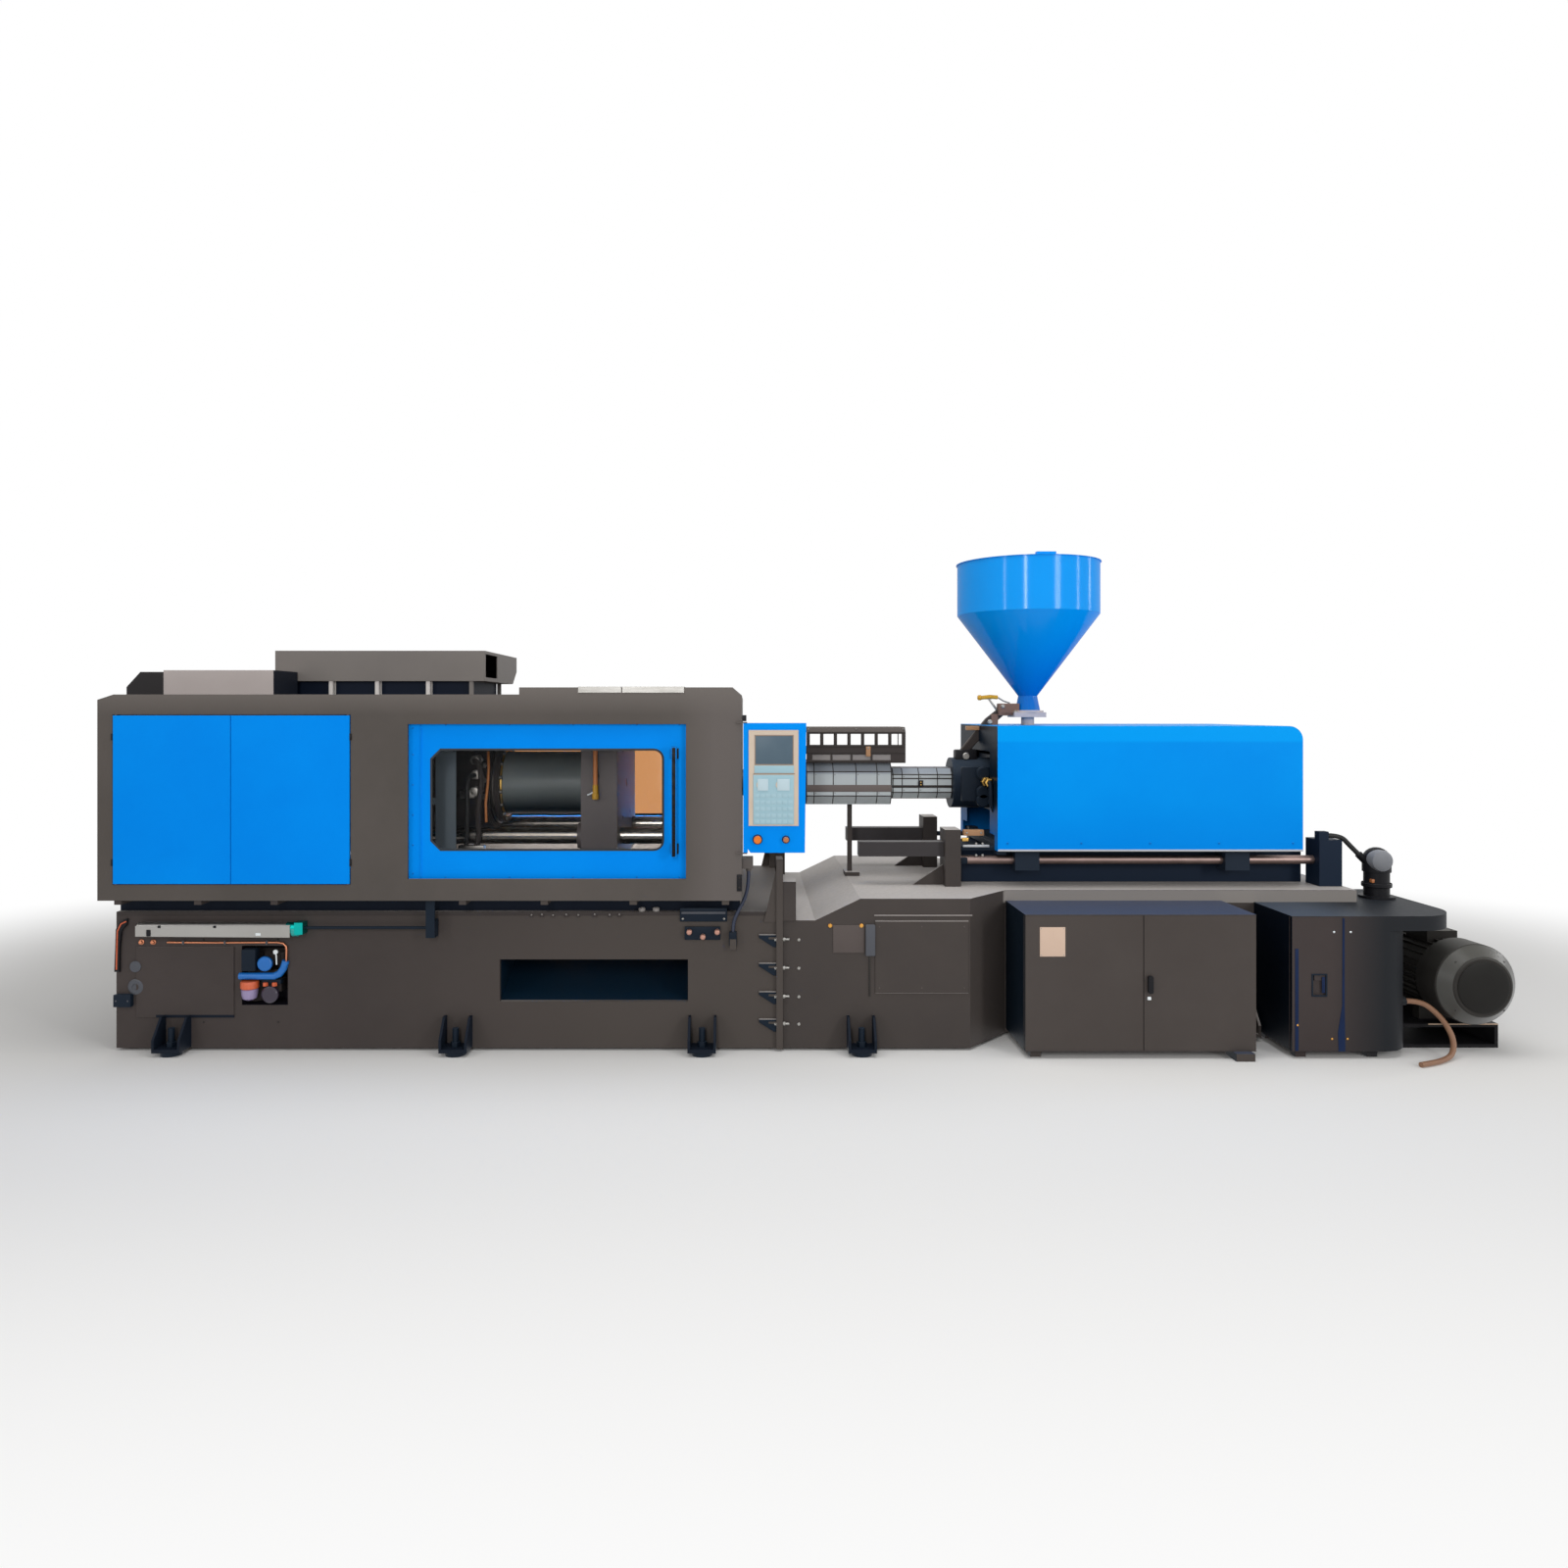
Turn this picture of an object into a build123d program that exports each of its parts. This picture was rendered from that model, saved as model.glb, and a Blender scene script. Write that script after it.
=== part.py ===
from build123d import *
import math
import os

# Injection moulding machine, clamp unit at -X, injection unit at +X, operator side at -Y, floor at z = 0.

# Overall layout along the machine
half_length = 4011
guard_right = -388
split_x = -152
injection_base_right = 3324
axis_z = 1484
running_gap = 0.3

# Clamp base and injection base
base_half_width = 900
base_floor_gap = 15
base_top = 800
base_wall = 30
base_right_half_width = 610
low_step_top = 750
low_step_right = 35
raised_top = 875
raised_left = 295
narrow_from = 928
narrow_to = 1200
sill_height = 90
recess_back = -base_half_width + 150
sill_y = base_half_width - 40
foot_xs = [-3640, -2020, -615, 295]
rear_foot_x = 2604
foot_width = 160
foot_reach = 130
pad_radius = 60
pad_height = 25
end_flange_top = 1104
end_flange_thickness = 38

# Guard sheets and their openings
sheet = 4
guard_half_width = base_half_width + 150
guard_bottom = base_top + sill_height
guard_top_z = 2090
guard_left_top = 2050
guard_step_x = -1640
guard_corner_x = -440
guard_corner_z = 2045
guard_left_slope = (-3920, 2020)
guard_flange = 60
stop_strip = 14
door_thickness = 18
door_front = guard_half_width + 6
door_gap = 5
door_left = -3920
door_seam = -3259
door_right = -2592
door_bottom = 985
door_top = 1932
pivot_inset = 12
pivot_radius = 6
gate_left = -2290
gate_right = -680
gate_bottom = 990
gate_top = 1905
gate_front = guard_half_width - 28
gate_depth = 26
gate_travel = 690
gate_overlap = 22
window_left = -2140
window_right = -834
window_bottom = 1174
window_top = 1738
window_corner = 52
pane_thickness = 6
handle_x = -768
handle_bottom = 1139
handle_top = 1756
handle_reach = 72
rail_wall = 6

# Tray and hood on the guard's top
tray_left = -3777
tray_right = -3133
tray_front = -800
tray_back = -470
tray_top = 2196
hood_left_x = -3280
hood_right_x = -1981
hood_half = 450
hood_foot_z = 2142
hood_top_z = 2330
hood_post_xs = (-2938, -2652, -2336, -2068)

# Clamp unit
tie_bar_radius = 52
tie_bar_y = 350
tie_bar_z = 310
platen_half_y = 520
platen_half_z = 470
cylinder_platen_x = -2716
cylinder_platen_thickness = 300
moving_platen_x = -1376
moving_platen_thickness = 222
fixed_platen_x = -806
fixed_platen_thickness = 250
cylinder_radius = 300
cylinder_bore = 240
cylinder_left = -3560
gland_x = -2006
gland_length = 65
gland_radius = 262
ram_radius = 205
ejector_radius = 30
ejector_piston = 59
mould_bolt_spacing = 420
mould_bolt_radius = 12
mould_bolt_depth = 48
locating_radius = 80
locating_depth = 70
sprue_radius = 50
nose_recess = 160
slide_rail_y = 440
slide_rail_height = 30

# Control panel
panel_left = -380
panel_right = -26
panel_bottom = 1161
panel_top = 1889
panel_front = 1060
panel_depth = 70

# Injection unit
rod_y = 400
rod_z = 1030
guide_rod_radius = 27
rod_plate_x = 862
rod_plate_thickness = 96
rod_plate_top = 1225
shift_left = 335
shift_z = 1100
shift_half = 45
shift_bore = 36
shift_rod = 16
bed = (1000, 3150, 300, 1075)
end_block_x = 3170
end_block_length = 140
barrel_radius = 84
barrel_left = -590
barrel_right = 1260
barrel_bore = 36
screw_radius = 34
nozzle_tip = -715
feed_left = 1250
feed_right = 1740
cylinder_y = 240
injection_cylinder_radius = 88
injection_bore = 70
injection_rod = 35
injection_cylinder_end = 2250
crosshead_x = 2380
crosshead_length = 100
cover_left = 1170
cover_right = 3032
cover_half_width = 550
cover_bottom = 1100
cover_top = 1865
cover_corner = 84
large_guard = (27, 582, 136)
small_guard = (589, 982, 100)
top_guard_left = 27
top_guard_right = 668
top_guard_bottom = axis_z + large_guard[2]
top_guard_top = 1852
top_guard_half_width = 160

# Hopper
hopper_x = 1500
hopper_radius = 457
hopper_top = 2925
hopper_cylinder_bottom = 2590
hopper_neck_radius = 61
hopper_neck_z = 2056
flare_radius = 80
flare_z = 1960
stem_radius = 42
hopper_wall = 4
hopper_flange_radius = 102
slide_thickness = 8
lid_hinge_y = hopper_radius + 18
lid_hinge_z = hopper_top + 8
lid_pin_radius = 6

# Electric cabinet
cabinet_left = 1204
cabinet_right = 2505
cabinet_front = 1050
cabinet_bottom = 43
cabinet_top = 812
cabinet_seam = 1871
cabinet_door = 20

# Pump cabinet, motor and filter
pump_left = 2703
pump_right = 3408
pump_seam = 2990
pump_top = 803
pump_corner = 180
hood_right = 3690
hood_bottom = 720
hood_corner = 250
hood_back = -150
motor_x = 3781
motor_z = 402
motor_radius = 200
cowl_radius = 230
cowl_front = 1050
cowl_depth = 200
cowl_wall = 4
shaft_radius = 24
filter_x = 3540
filter_y = -450
filter_radius = 80
filter_shoulder = 1034
filter_port = (filter_x - 112, 1070)

# Gate cylinder under the doors
gate_cylinder_y = -base_half_width - 40
gate_cylinder_z = 717
gate_cylinder_left = -3839
gate_cylinder_right = -2890
gate_cylinder_bore = 27
gate_arm_left = -2184

# Cords, as points on their middle lines
hose_radius = 15
cable_radius = 10
suction_route = [(3230, filter_y, 1186), (3316, filter_y, 1186), (3372, filter_y, 1126),
                 (filter_port[0], filter_y, filter_port[1])]
drain_route = [(3400, -950, 300), (3490, -950, 300), (3572, -964, 238), (3632, -975, 158), (3646, -1006, 82),
               (3600, -1058, 24), (3512, -1116, 15), (3424, -1160, 15), (3340, -1190, 15)]
cable_route = [(-350, -950, 1045), (-350, -950, 965), (-372, -944, 880), (-420, -928, 790), (-439, -922, 735),
               (-439, -922, 690)]


def block(x0, x1, y0, y1, z0, z1):
    return Pos((x0 + x1) / 2, (y0 + y1) / 2, (z0 + z1) / 2) * Box(x1 - x0, y1 - y0, z1 - z0)


def rod_along_x(x0, x1, y, z, radius):
    return Pos((x0 + x1) / 2, y, z) * Rot(0, 90, 0) * Cylinder(radius, x1 - x0)


def rod_along_y(y0, y1, x, z, radius):
    return Pos(x, (y0 + y1) / 2, z) * Rot(90, 0, 0) * Cylinder(radius, y1 - y0)


def rod_along_z(z0, z1, x, y, radius):
    return Pos(x, y, (z0 + z1) / 2) * Cylinder(radius, z1 - z0)


def mirrored(shape):
    return mirror(shape, about=Plane.XZ)


def both_sides(shape):
    return shape + mirrored(shape)


def both_ends(shape, x):
    return shape + mirror(shape, about=Plane((x, 0, 0), z_dir=(1, 0, 0)))


def along_y(points, y0, y1):
    """Solid with an outline in X and Z."""
    face = make_face(Polyline(*points, close=True))
    return extrude(Plane((0, y1, 0), x_dir=(1, 0, 0), z_dir=(0, -1, 0)) * face, y1 - y0)


def along_x(points, x0, x1):
    """Solid with an outline in Y and Z."""
    face = make_face(Polyline(*points, close=True))
    return extrude(Plane((x0, 0, 0), x_dir=(0, 1, 0), z_dir=(1, 0, 0)) * face, x1 - x0)


def along_z(points, z0, z1):
    """Solid with an outline in X and Y."""
    return extrude(Pos(0, 0, z0) * make_face(Polyline(*points, close=True)), z1 - z0)


def inward_path(points, distance):
    """Same path as the points, moved to its left by a sheet's thickness."""
    lines = []
    for (x0, y0), (x1, y1) in zip(points, points[1:]):
        length = math.hypot(x1 - x0, y1 - y0)
        left = (-(y1 - y0) / length * distance, (x1 - x0) / length * distance)
        lines.append(((x0 + left[0], y0 + left[1]), (x1 + left[0], y1 + left[1])))
    moved = [lines[0][0]]
    for first, second in zip(lines, lines[1:]):
        (ax, ay), (bx, by) = first
        (cx, cy), (dx, dy) = second
        cross = (bx - ax) * (dy - cy) - (by - ay) * (dx - cx)
        share = ((cx - ax) * (dy - cy) - (cy - ay) * (dx - cx)) / cross
        moved.append((ax + share * (bx - ax), ay + share * (by - ay)))
    moved.append(lines[-1][1])
    return moved


def folded_outline(points, thickness):
    return points + inward_path(points, thickness)[::-1]


def window_opening(y0, y1):
    """Window with bevelled corners on its left and round ones on its right."""
    x0, x1, z0, z1, r = window_left, window_right, window_bottom, window_top, window_corner
    edge = Polyline((x1 - r, z1), (x0 + r, z1), (x0, z1 - r), (x0, z0 + r), (x0 + r, z0), (x1 - r, z0))
    edge += JernArc((x1 - r, z0), (1, 0), r, 90)
    edge += Line((x1, z0 + r), (x1, z1 - r))
    edge += JernArc((x1, z1 - r), (0, 1), r, 90)
    plane = Plane((0, y1, 0), x_dir=(1, 0, 0), z_dir=(0, -1, 0))
    return extrude(plane * make_face(edge), y1 - y0)


def levelling_bracket(x, side_y):
    """U bracket with two ribs, welded to the front of the base, open for the jack bolt."""
    left = x - foot_width / 2
    right = x + foot_width / 2
    plate = block(left, right, -side_y - foot_reach, -side_y, pad_height, pad_height + 20)
    plate -= rod_along_z(0, 60, x, -side_y - foot_reach / 2, 19)
    rib_outline = [(-side_y, 205), (-side_y, pad_height + 20), (-side_y - foot_reach, pad_height + 20),
                   (-side_y - foot_reach, 95), (-side_y - 45, 205)]
    return plate + along_x(rib_outline, left, left + 14) + along_x(rib_outline, right - 14, right)


def levelling_pad(x, side_y):
    y = -side_y - foot_reach / 2
    pad = rod_along_z(0, pad_height, x, y, pad_radius)
    bolt = rod_along_z(pad_height, 150, x, y, 18)
    nut = Pos(x, y, pad_height + 20 + 14) * extrude(RegularPolygon(28, 6), 14, both=True)
    return pad + bolt + nut


def make_clamp_base():
    left = -half_length + 18
    right = split_x
    base = block(left, right, -base_half_width, base_half_width, base_floor_gap, base_top)
    base -= block(left + base_wall, right - base_wall, -base_half_width + base_wall,
                  base_half_width - base_wall, base_floor_gap - 1, base_top - base_wall)
    drop = block(-1690, -830, -340, 340, base_top - base_wall - 1, base_top + 1)
    chute_mouth = block(-1784, -699, -base_half_width - 1, -base_half_width + base_wall + 1, 282, 525)
    recess_left, recess_right, recess_bottom, recess_top = -3270, -3005, 262, 604
    recess = block(recess_left, recess_right, -base_half_width - 1, -base_half_width + base_wall + 1,
                   recess_bottom, recess_top)
    base -= drop + chute_mouth + recess
    pocket = block(recess_left - 10, recess_right + 10, -base_half_width + base_wall, recess_back + 10,
                   recess_bottom - 10, recess_top + 10)
    pocket -= block(recess_left, recess_right, -base_half_width, recess_back, recess_bottom, recess_top)
    chute = along_x([(-base_half_width + base_wall, 282), (-base_half_width + base_wall, 272),
                     (360, 700), (360, base_top - base_wall), (350, base_top - base_wall), (350, 708)],
                    -1790, -693)
    sides = block(-1800, -1790, -base_half_width + base_wall, 360, 270, base_top - base_wall)
    sides += block(-693, -683, -base_half_width + base_wall, 360, 270, base_top - base_wall)
    base += pocket + chute + sides
    sill = block(left, guard_right - 12, -sill_y, -sill_y + 40, base_top, guard_bottom)
    outriggers = [block(x - 20, x + 20, -guard_half_width + 6, -sill_y, guard_bottom - 24, guard_bottom)
                  for x in (left + 93, -3450, -3020, -1960, -1500, -1000, -480)]
    rails = block(cylinder_platen_x + cylinder_platen_thickness, fixed_platen_x, slide_rail_y - 40,
                  slide_rail_y + 40, base_top, base_top + slide_rail_height)
    base += both_sides(sill + outriggers + rails)
    base += block(left + 118, recess_left - 43, -base_half_width - 8, -base_half_width, 192, 598)
    lug = block(split_x - end_flange_thickness, split_x, -base_half_width - 22, -base_half_width + 120,
                base_floor_gap, end_flange_top)
    gusset = along_y([(split_x - end_flange_thickness, 742), (split_x - end_flange_thickness, 1042),
                      (-262, 742)], -base_half_width - 10, -base_half_width + 4)
    ribs = [along_z([(split_x - end_flange_thickness, -base_half_width), (-287, -base_half_width),
                     (split_x - end_flange_thickness, -base_half_width - 22)], z - 6, z + 6)
            for z in (650, 485, 322, 164)]
    base += both_sides(lug + gusset + ribs)
    base += both_sides(Part() + [levelling_bracket(x, base_half_width) for x in foot_xs[:3]])
    gland_box = block(-457, -421, -base_half_width - 42, -base_half_width, 590, 650)
    gland = rod_along_z(650, 690, -439, -base_half_width - 22, 15)
    return base + gland_box + gland


def make_injection_base():
    profile = [(split_x, base_floor_gap), (injection_base_right, base_floor_gap),
               (injection_base_right, raised_top), (raised_left, raised_top),
               (low_step_right, low_step_top), (split_x, low_step_top)]
    plan = [(split_x, -base_half_width), (narrow_from, -base_half_width),
            (narrow_to, -base_right_half_width), (injection_base_right, -base_right_half_width),
            (injection_base_right, base_right_half_width), (narrow_to, base_right_half_width),
            (narrow_from, base_half_width), (split_x, base_half_width)]
    base = along_y(profile, -base_half_width, base_half_width) & along_z(plan, 0, raised_top + 1)
    hollow_profile = [(split_x + base_wall, 0), (injection_base_right - base_wall, 0),
                      (injection_base_right - base_wall, raised_top - base_wall),
                      (raised_left, raised_top - base_wall),
                      (low_step_right, low_step_top - base_wall),
                      (split_x + base_wall, low_step_top - base_wall)]
    hollow_plan = [(x, y - math.copysign(base_wall, y)) for x, y in plan]
    hollow_plan[0] = (split_x + base_wall, hollow_plan[0][1])
    hollow_plan[-1] = (split_x + base_wall, hollow_plan[-1][1])
    hollow_plan[3] = (injection_base_right - base_wall, hollow_plan[3][1])
    hollow_plan[4] = (injection_base_right - base_wall, hollow_plan[4][1])
    base -= along_y(hollow_profile, -base_half_width, base_half_width) & along_z(hollow_plan, 0, raised_top)
    lug = block(split_x, split_x + 75, -base_half_width - 15, -base_half_width + 100, low_step_top, 975)
    panel = block(380, 917, -base_half_width - 6, -base_half_width, 333, low_step_top)
    base += both_sides(lug + levelling_bracket(foot_xs[3], base_half_width)) + panel
    base += both_sides(levelling_bracket(rear_foot_x, base_right_half_width))
    for y in (-rod_y, rod_y):
        plate_back = rod_plate_x + rod_plate_thickness
        plate = block(rod_plate_x, plate_back, y - 90, y + 90, raised_top, rod_plate_top)
        plate -= rod_along_x(rod_plate_x - 1, plate_back + 1, y, shift_z, shift_rod + 2)
        gusset = along_y([(rod_plate_x, raised_top), (rod_plate_x, 1000), (rod_plate_x - 190, raised_top)],
                         y - 12, y + 12)
        end_block = block(end_block_x, end_block_x + end_block_length, y - 80, y + 80, raised_top, 1160)
        base += plate + gusset + end_block
    hose_elbow = block(end_block_x, end_block_x + 60, filter_y - 26, filter_y + 26, 1160, 1212)
    post = block(306, 336, -13, 13, raised_top, axis_z - large_guard[2] - running_gap)
    post += block(286, 380, -70, 70, raised_top, raised_top + 25)
    slide_bed = block(bed[0], bed[1], -bed[2], bed[2], raised_top, bed[3])
    return base + post + hose_elbow + slide_bed


def make_levelling_pads():
    pads = [levelling_pad(x, base_half_width) for x in foot_xs]
    pads += [levelling_pad(rear_foot_x, base_right_half_width)]
    return Compound(children=[solid for pad in pads for solid in (pad.solid(), mirrored(pad).solid())])


def opening_rim(x0, x1, z0, z1, depth):
    rim = block(x0 - sheet, x1 + sheet, -guard_half_width, -guard_half_width + depth, z0 - sheet, z1 + sheet)
    return rim - block(x0, x1, -guard_half_width - 1, -guard_half_width + depth + 1, z0, z1)


def guard_top_line():
    """Top edge of the guard from right to left: bevel, step down and slope."""
    slope_x, slope_z = guard_left_slope
    return [(guard_right, guard_corner_z), (guard_corner_x, guard_top_z), (guard_step_x, guard_top_z),
            (guard_step_x, guard_left_top), (slope_x, guard_left_top), (-half_length, slope_z)]


def guard_side_sheet():
    outline = [(-half_length, guard_bottom), (guard_right, guard_bottom)] + guard_top_line()
    side = along_y(outline, -guard_half_width, -guard_half_width + sheet)
    side += block(-half_length + sheet, guard_right - sheet, -guard_half_width, -guard_half_width + 24,
                  guard_bottom, guard_bottom + sheet)
    for x0, x1, top in ((guard_step_x + 10, guard_corner_x - 10, guard_top_z),
                        (guard_left_slope[0] + 10, guard_step_x - 10, guard_left_top)):
        side += block(x0, x1, -guard_half_width, -guard_half_width + guard_flange,
                      top - 2 * sheet, top - sheet)
    opening = (gate_left + gate_overlap + 1, gate_right - gate_overlap, gate_bottom + gate_overlap,
               gate_top - gate_overlap)
    side += opening_rim(*opening, 18)
    return side - block(opening[0], opening[1], -guard_half_width - 1, 0, opening[2], opening[3])


def make_guard_front():
    front = guard_side_sheet()
    left, right = door_left - door_gap, door_right + door_gap
    bottom, top = door_bottom - door_gap, door_top + door_gap
    front += opening_rim(left, right, bottom, top, 15)
    front -= block(left, right, -guard_half_width - 1, 0, bottom, top)
    stop_y = -door_front + door_thickness + 0.5
    for z0 in (bottom - sheet, top - stop_strip):
        front += block(left + 40, right - 40, stop_y, stop_y + 3, z0, z0 + stop_strip + sheet)
    pin_y = -door_front + door_thickness / 2
    for x in (door_left + pivot_inset, door_right - pivot_inset):
        front += rod_along_z(door_top - 16, top + 1, x, pin_y, pivot_radius)
        front += rod_along_z(bottom - 1, door_bottom + 16, x, pin_y, pivot_radius)
    for z0 in (panel_top + running_gap, panel_bottom - running_gap - 6):
        front += block(guard_right - 34, panel_left + 22, -panel_front - 4, -guard_half_width, z0, z0 + 6)
    pin_x, pin_y = panel_left + 8, -panel_front + 10
    front += rod_along_z(panel_top - 20, panel_top + 6, pin_x, pin_y, pivot_radius)
    front += rod_along_z(panel_bottom - 6, panel_bottom + 20, pin_x, pin_y, pivot_radius)
    return front


def make_guard_rear():
    return mirrored(guard_side_sheet())


def make_guard_top():
    outline = [(guard_right, guard_bottom)] + guard_top_line() + [(-half_length, guard_bottom)]
    inner = guard_half_width - sheet
    top = along_y(folded_outline(outline, sheet), -inner, inner)
    top -= block(guard_right - 10, guard_right + 10, -620, 620, guard_bottom - 1, 1930)
    top -= block(-1308, -713, -inner + 40, inner - 40, guard_top_z - 10, guard_top_z + 10)
    junction = block(guard_right, guard_right + 64, -1000, -900, 1062, 1122)
    junction += rod_along_z(1045, 1062, -350, -950, 15)
    return top + junction


def make_top_lids():
    lids = []
    for x0, x1 in ((-1308, -1066), (-1060, -713)):
        plate = block(x0, x1, -guard_half_width - sheet, guard_half_width + sheet,
                      guard_top_z, guard_top_z + sheet)
        lip = block(x0, x1, -guard_half_width - sheet, -guard_half_width, guard_top_z - 30, guard_top_z)
        lids.append((plate + both_sides(lip)).solid())
    return Compound(children=lids)


def make_top_tray():
    """Open tray with a closed bevelled duct at its left end."""
    tray = block(tray_left, tray_right, tray_front, tray_back, guard_left_top, tray_top)
    tray -= block(tray_left - 1, tray_right - sheet, tray_front + sheet, tray_back - sheet,
                  guard_left_top - 1, tray_top - sheet)
    slope_x, slope_z = guard_left_slope
    duct_left = slope_x - 74
    duct_foot = guard_left_top + (slope_z - guard_left_top) * (slope_x - duct_left) / (slope_x + half_length)
    outline = [(tray_left, guard_left_top), (tray_left, tray_top - 10), (slope_x + 7, tray_top - 10),
               (duct_left, duct_foot + 72), (duct_left, duct_foot), (slope_x, guard_left_top)]
    return tray + along_y(outline, tray_front, tray_back)


def make_top_hood():
    """Sheet hood on posts, with a bevel along its rear and a window in its right end."""
    x0, x1, half, wall = hood_left_x, hood_right_x, hood_half, 6
    z0, z1 = hood_foot_z, hood_top_z

    def profile(inset):
        front, back = -half + inset, half - inset
        bevel = 120
        return [(front, z0 + inset), (back - bevel, z0 + inset), (back, z0 + inset + 88),
                (back, z1 - inset), (front, z1 - inset)]

    hood = along_x(profile(0), x0, x1) - along_x(profile(wall), x0 + wall, x1 - wall)
    hood += block(x0 + 20, x1 - 99, -half + 50, 270, guard_left_top, z0)
    hood -= block(x1 - wall - 1, x1 + 1, -half + 20, -120, z0 + 24, z1 - 20)
    for x in hood_post_xs:
        hood += block(x - 12, x + 12, -half + wall, -half + wall + 20, guard_left_top, z0 + 28)
        hood += block(x - 12, x + 12, 285, 309, guard_left_top, z0 + 1)
    return hood


def door_tray(x0, x1, hinge_x, front_y, depth, z0, z1):
    """Folded sheet door, open at the back, with bored corner blocks for the pivot pins."""
    y0, y1 = -front_y, -front_y + depth
    door = block(x0, x1, y0, y1, z0, z1) - block(x0 + 3, x1 - 3, y0 + 3, y1 + 1, z0 + 3, z1 - 3)
    for low, high in ((z0, z0 + 26), (z1 - 26, z1)):
        door += block(hinge_x - pivot_inset, hinge_x + pivot_inset, y0, y1, low, high)
    pin_y = (y0 + y1) / 2
    for low, high in ((z0 - 1, z0 + 18), (z1 - 18, z1 + 1)):
        door -= rod_along_z(low, high, hinge_x, pin_y, pivot_radius + running_gap)
    return door


def make_clamp_door_left():
    return door_tray(door_left, door_seam - 2, door_left + pivot_inset, door_front, door_thickness,
                     door_bottom, door_top)


def make_clamp_door_right():
    return door_tray(door_seam + 2, door_right, door_right - pivot_inset, door_front, door_thickness,
                     door_bottom, door_top)


def gate_panel():
    y0, y1 = -gate_front, -gate_front + gate_depth
    panel = block(gate_left, gate_right, y0, y1, gate_bottom, gate_top)
    panel -= block(gate_left + 3, gate_right - 3, y0 + 3, y1 + 1, gate_bottom + 3, gate_top - 3)
    panel -= window_opening(y0 - 1, y0 + 4)
    panel += block(-2204, -2198, y0 - 5, y0, gate_bottom + 30, gate_top - 30)
    panel += block(-2200, -2130, y0 + 3, y1, gate_bottom + 3, 1100)
    return panel


def gate_handle():
    y0 = -gate_front
    bar = block(handle_x - 16, handle_x + 16, y0 - handle_reach, y0 - handle_reach + 20,
                handle_bottom, handle_top)
    for z in (handle_bottom + 40, handle_top - 40):
        bar += block(handle_x - 14, handle_x + 14, y0 - handle_reach + 20, y0, z - 20, z + 20)
    return bar


def make_front_gate():
    return gate_panel() + gate_handle()


def make_front_window():
    y0 = -gate_front + 3
    return block(window_left - 12, window_right + 12, y0, y0 + pane_thickness,
                 window_bottom - 12, window_top + 12)


def make_rear_gate():
    return mirrored(gate_panel() + gate_handle())


def make_rear_window():
    return mirrored(make_front_window())


def gate_rail():
    """Top and bottom channels that the gate runs in, held off the guard sheet by spacers."""
    left = gate_left - gate_travel - 20
    right = gate_right + 8
    inner0, inner1 = -gate_front - 1, -gate_front + gate_depth + 1
    outer0, outer1 = inner0 - 5, inner1 + 5
    top = block(left, right, outer0, outer1, gate_top - 12, gate_top + running_gap + rail_wall)
    top -= block(left - 1, right + 1, inner0, inner1, gate_top - 13, gate_top + running_gap)
    bottom = block(left, right, outer0, outer1, gate_bottom - running_gap - rail_wall, gate_bottom + 12)
    bottom -= block(left - 1, right + 1, inner0, inner1, gate_bottom - running_gap, gate_bottom + 13)
    for x in (-2500, -2240, -1750, -1250, -712):
        top += block(x - 20, x + 20, -guard_half_width + sheet, outer0, gate_top - 10, gate_top + 6)
        bottom += block(x - 20, x + 20, -guard_half_width + sheet, outer0, gate_bottom - 6, gate_bottom + 8)
    return [top, bottom]


def make_gate_rails():
    front = gate_rail()
    return Compound(children=[rail.solid() for rail in front] + [mirrored(rail).solid() for rail in front])


def make_gate_cylinder():
    x0, x1 = gate_cylinder_left, gate_cylinder_right
    y, z = gate_cylinder_y, gate_cylinder_z
    body = rod_along_x(x0, x1 - 40, y, z, 32) + block(x1 - 48, x1, y - 34, y + 34, z - 34, z + 34)
    body -= rod_along_x(x0 + 12, x1 - 48, y, z, gate_cylinder_bore)
    body -= rod_along_x(x1 - 49, x1 + 1, y, z, 8 + running_gap)
    for x in (x0 + 60, x1 - 120):
        clamp = block(x - 20, x + 20, y, -base_half_width, z - 12, z + 12)
        body += clamp - rod_along_x(x - 30, x + 30, y, z, 30)
    return body


def make_gate_rod():
    y, z = gate_cylinder_y, gate_cylinder_z
    rod = rod_along_x(gate_cylinder_right - 90, gate_arm_left, y, z, 8)
    rod += rod_along_x(gate_cylinder_right - 100, gate_cylinder_right - 60, y, z,
                       gate_cylinder_bore - running_gap)
    head = block(gate_arm_left, gate_arm_left + 51, y - 44, y + 22, z - 50, z + 50)
    back = -gate_front + gate_depth
    arm = block(gate_arm_left, gate_arm_left + 51, back + 8, back + 16, z - 50, 1072)
    arm += block(gate_arm_left, gate_arm_left + 51, back, back + 16, 1022, 1072)
    return rod + head + arm


def make_inner_shield():
    profile = [(-2213, -700), (-2092, -700), (-2092, -690), (-2203, -690), (-2203, -640), (-2213, -640)]
    shield = along_z(profile, 1014, 1900)
    shield += block(-2416, -2203, -700, -692, 1400, 1440) + block(-2416, -2406, -700, -520, 1400, 1440)
    return shield


def tie_bar_places():
    return [(y, axis_z + z) for y in (-tie_bar_y, tie_bar_y) for z in (-tie_bar_z, tie_bar_z)]


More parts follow.
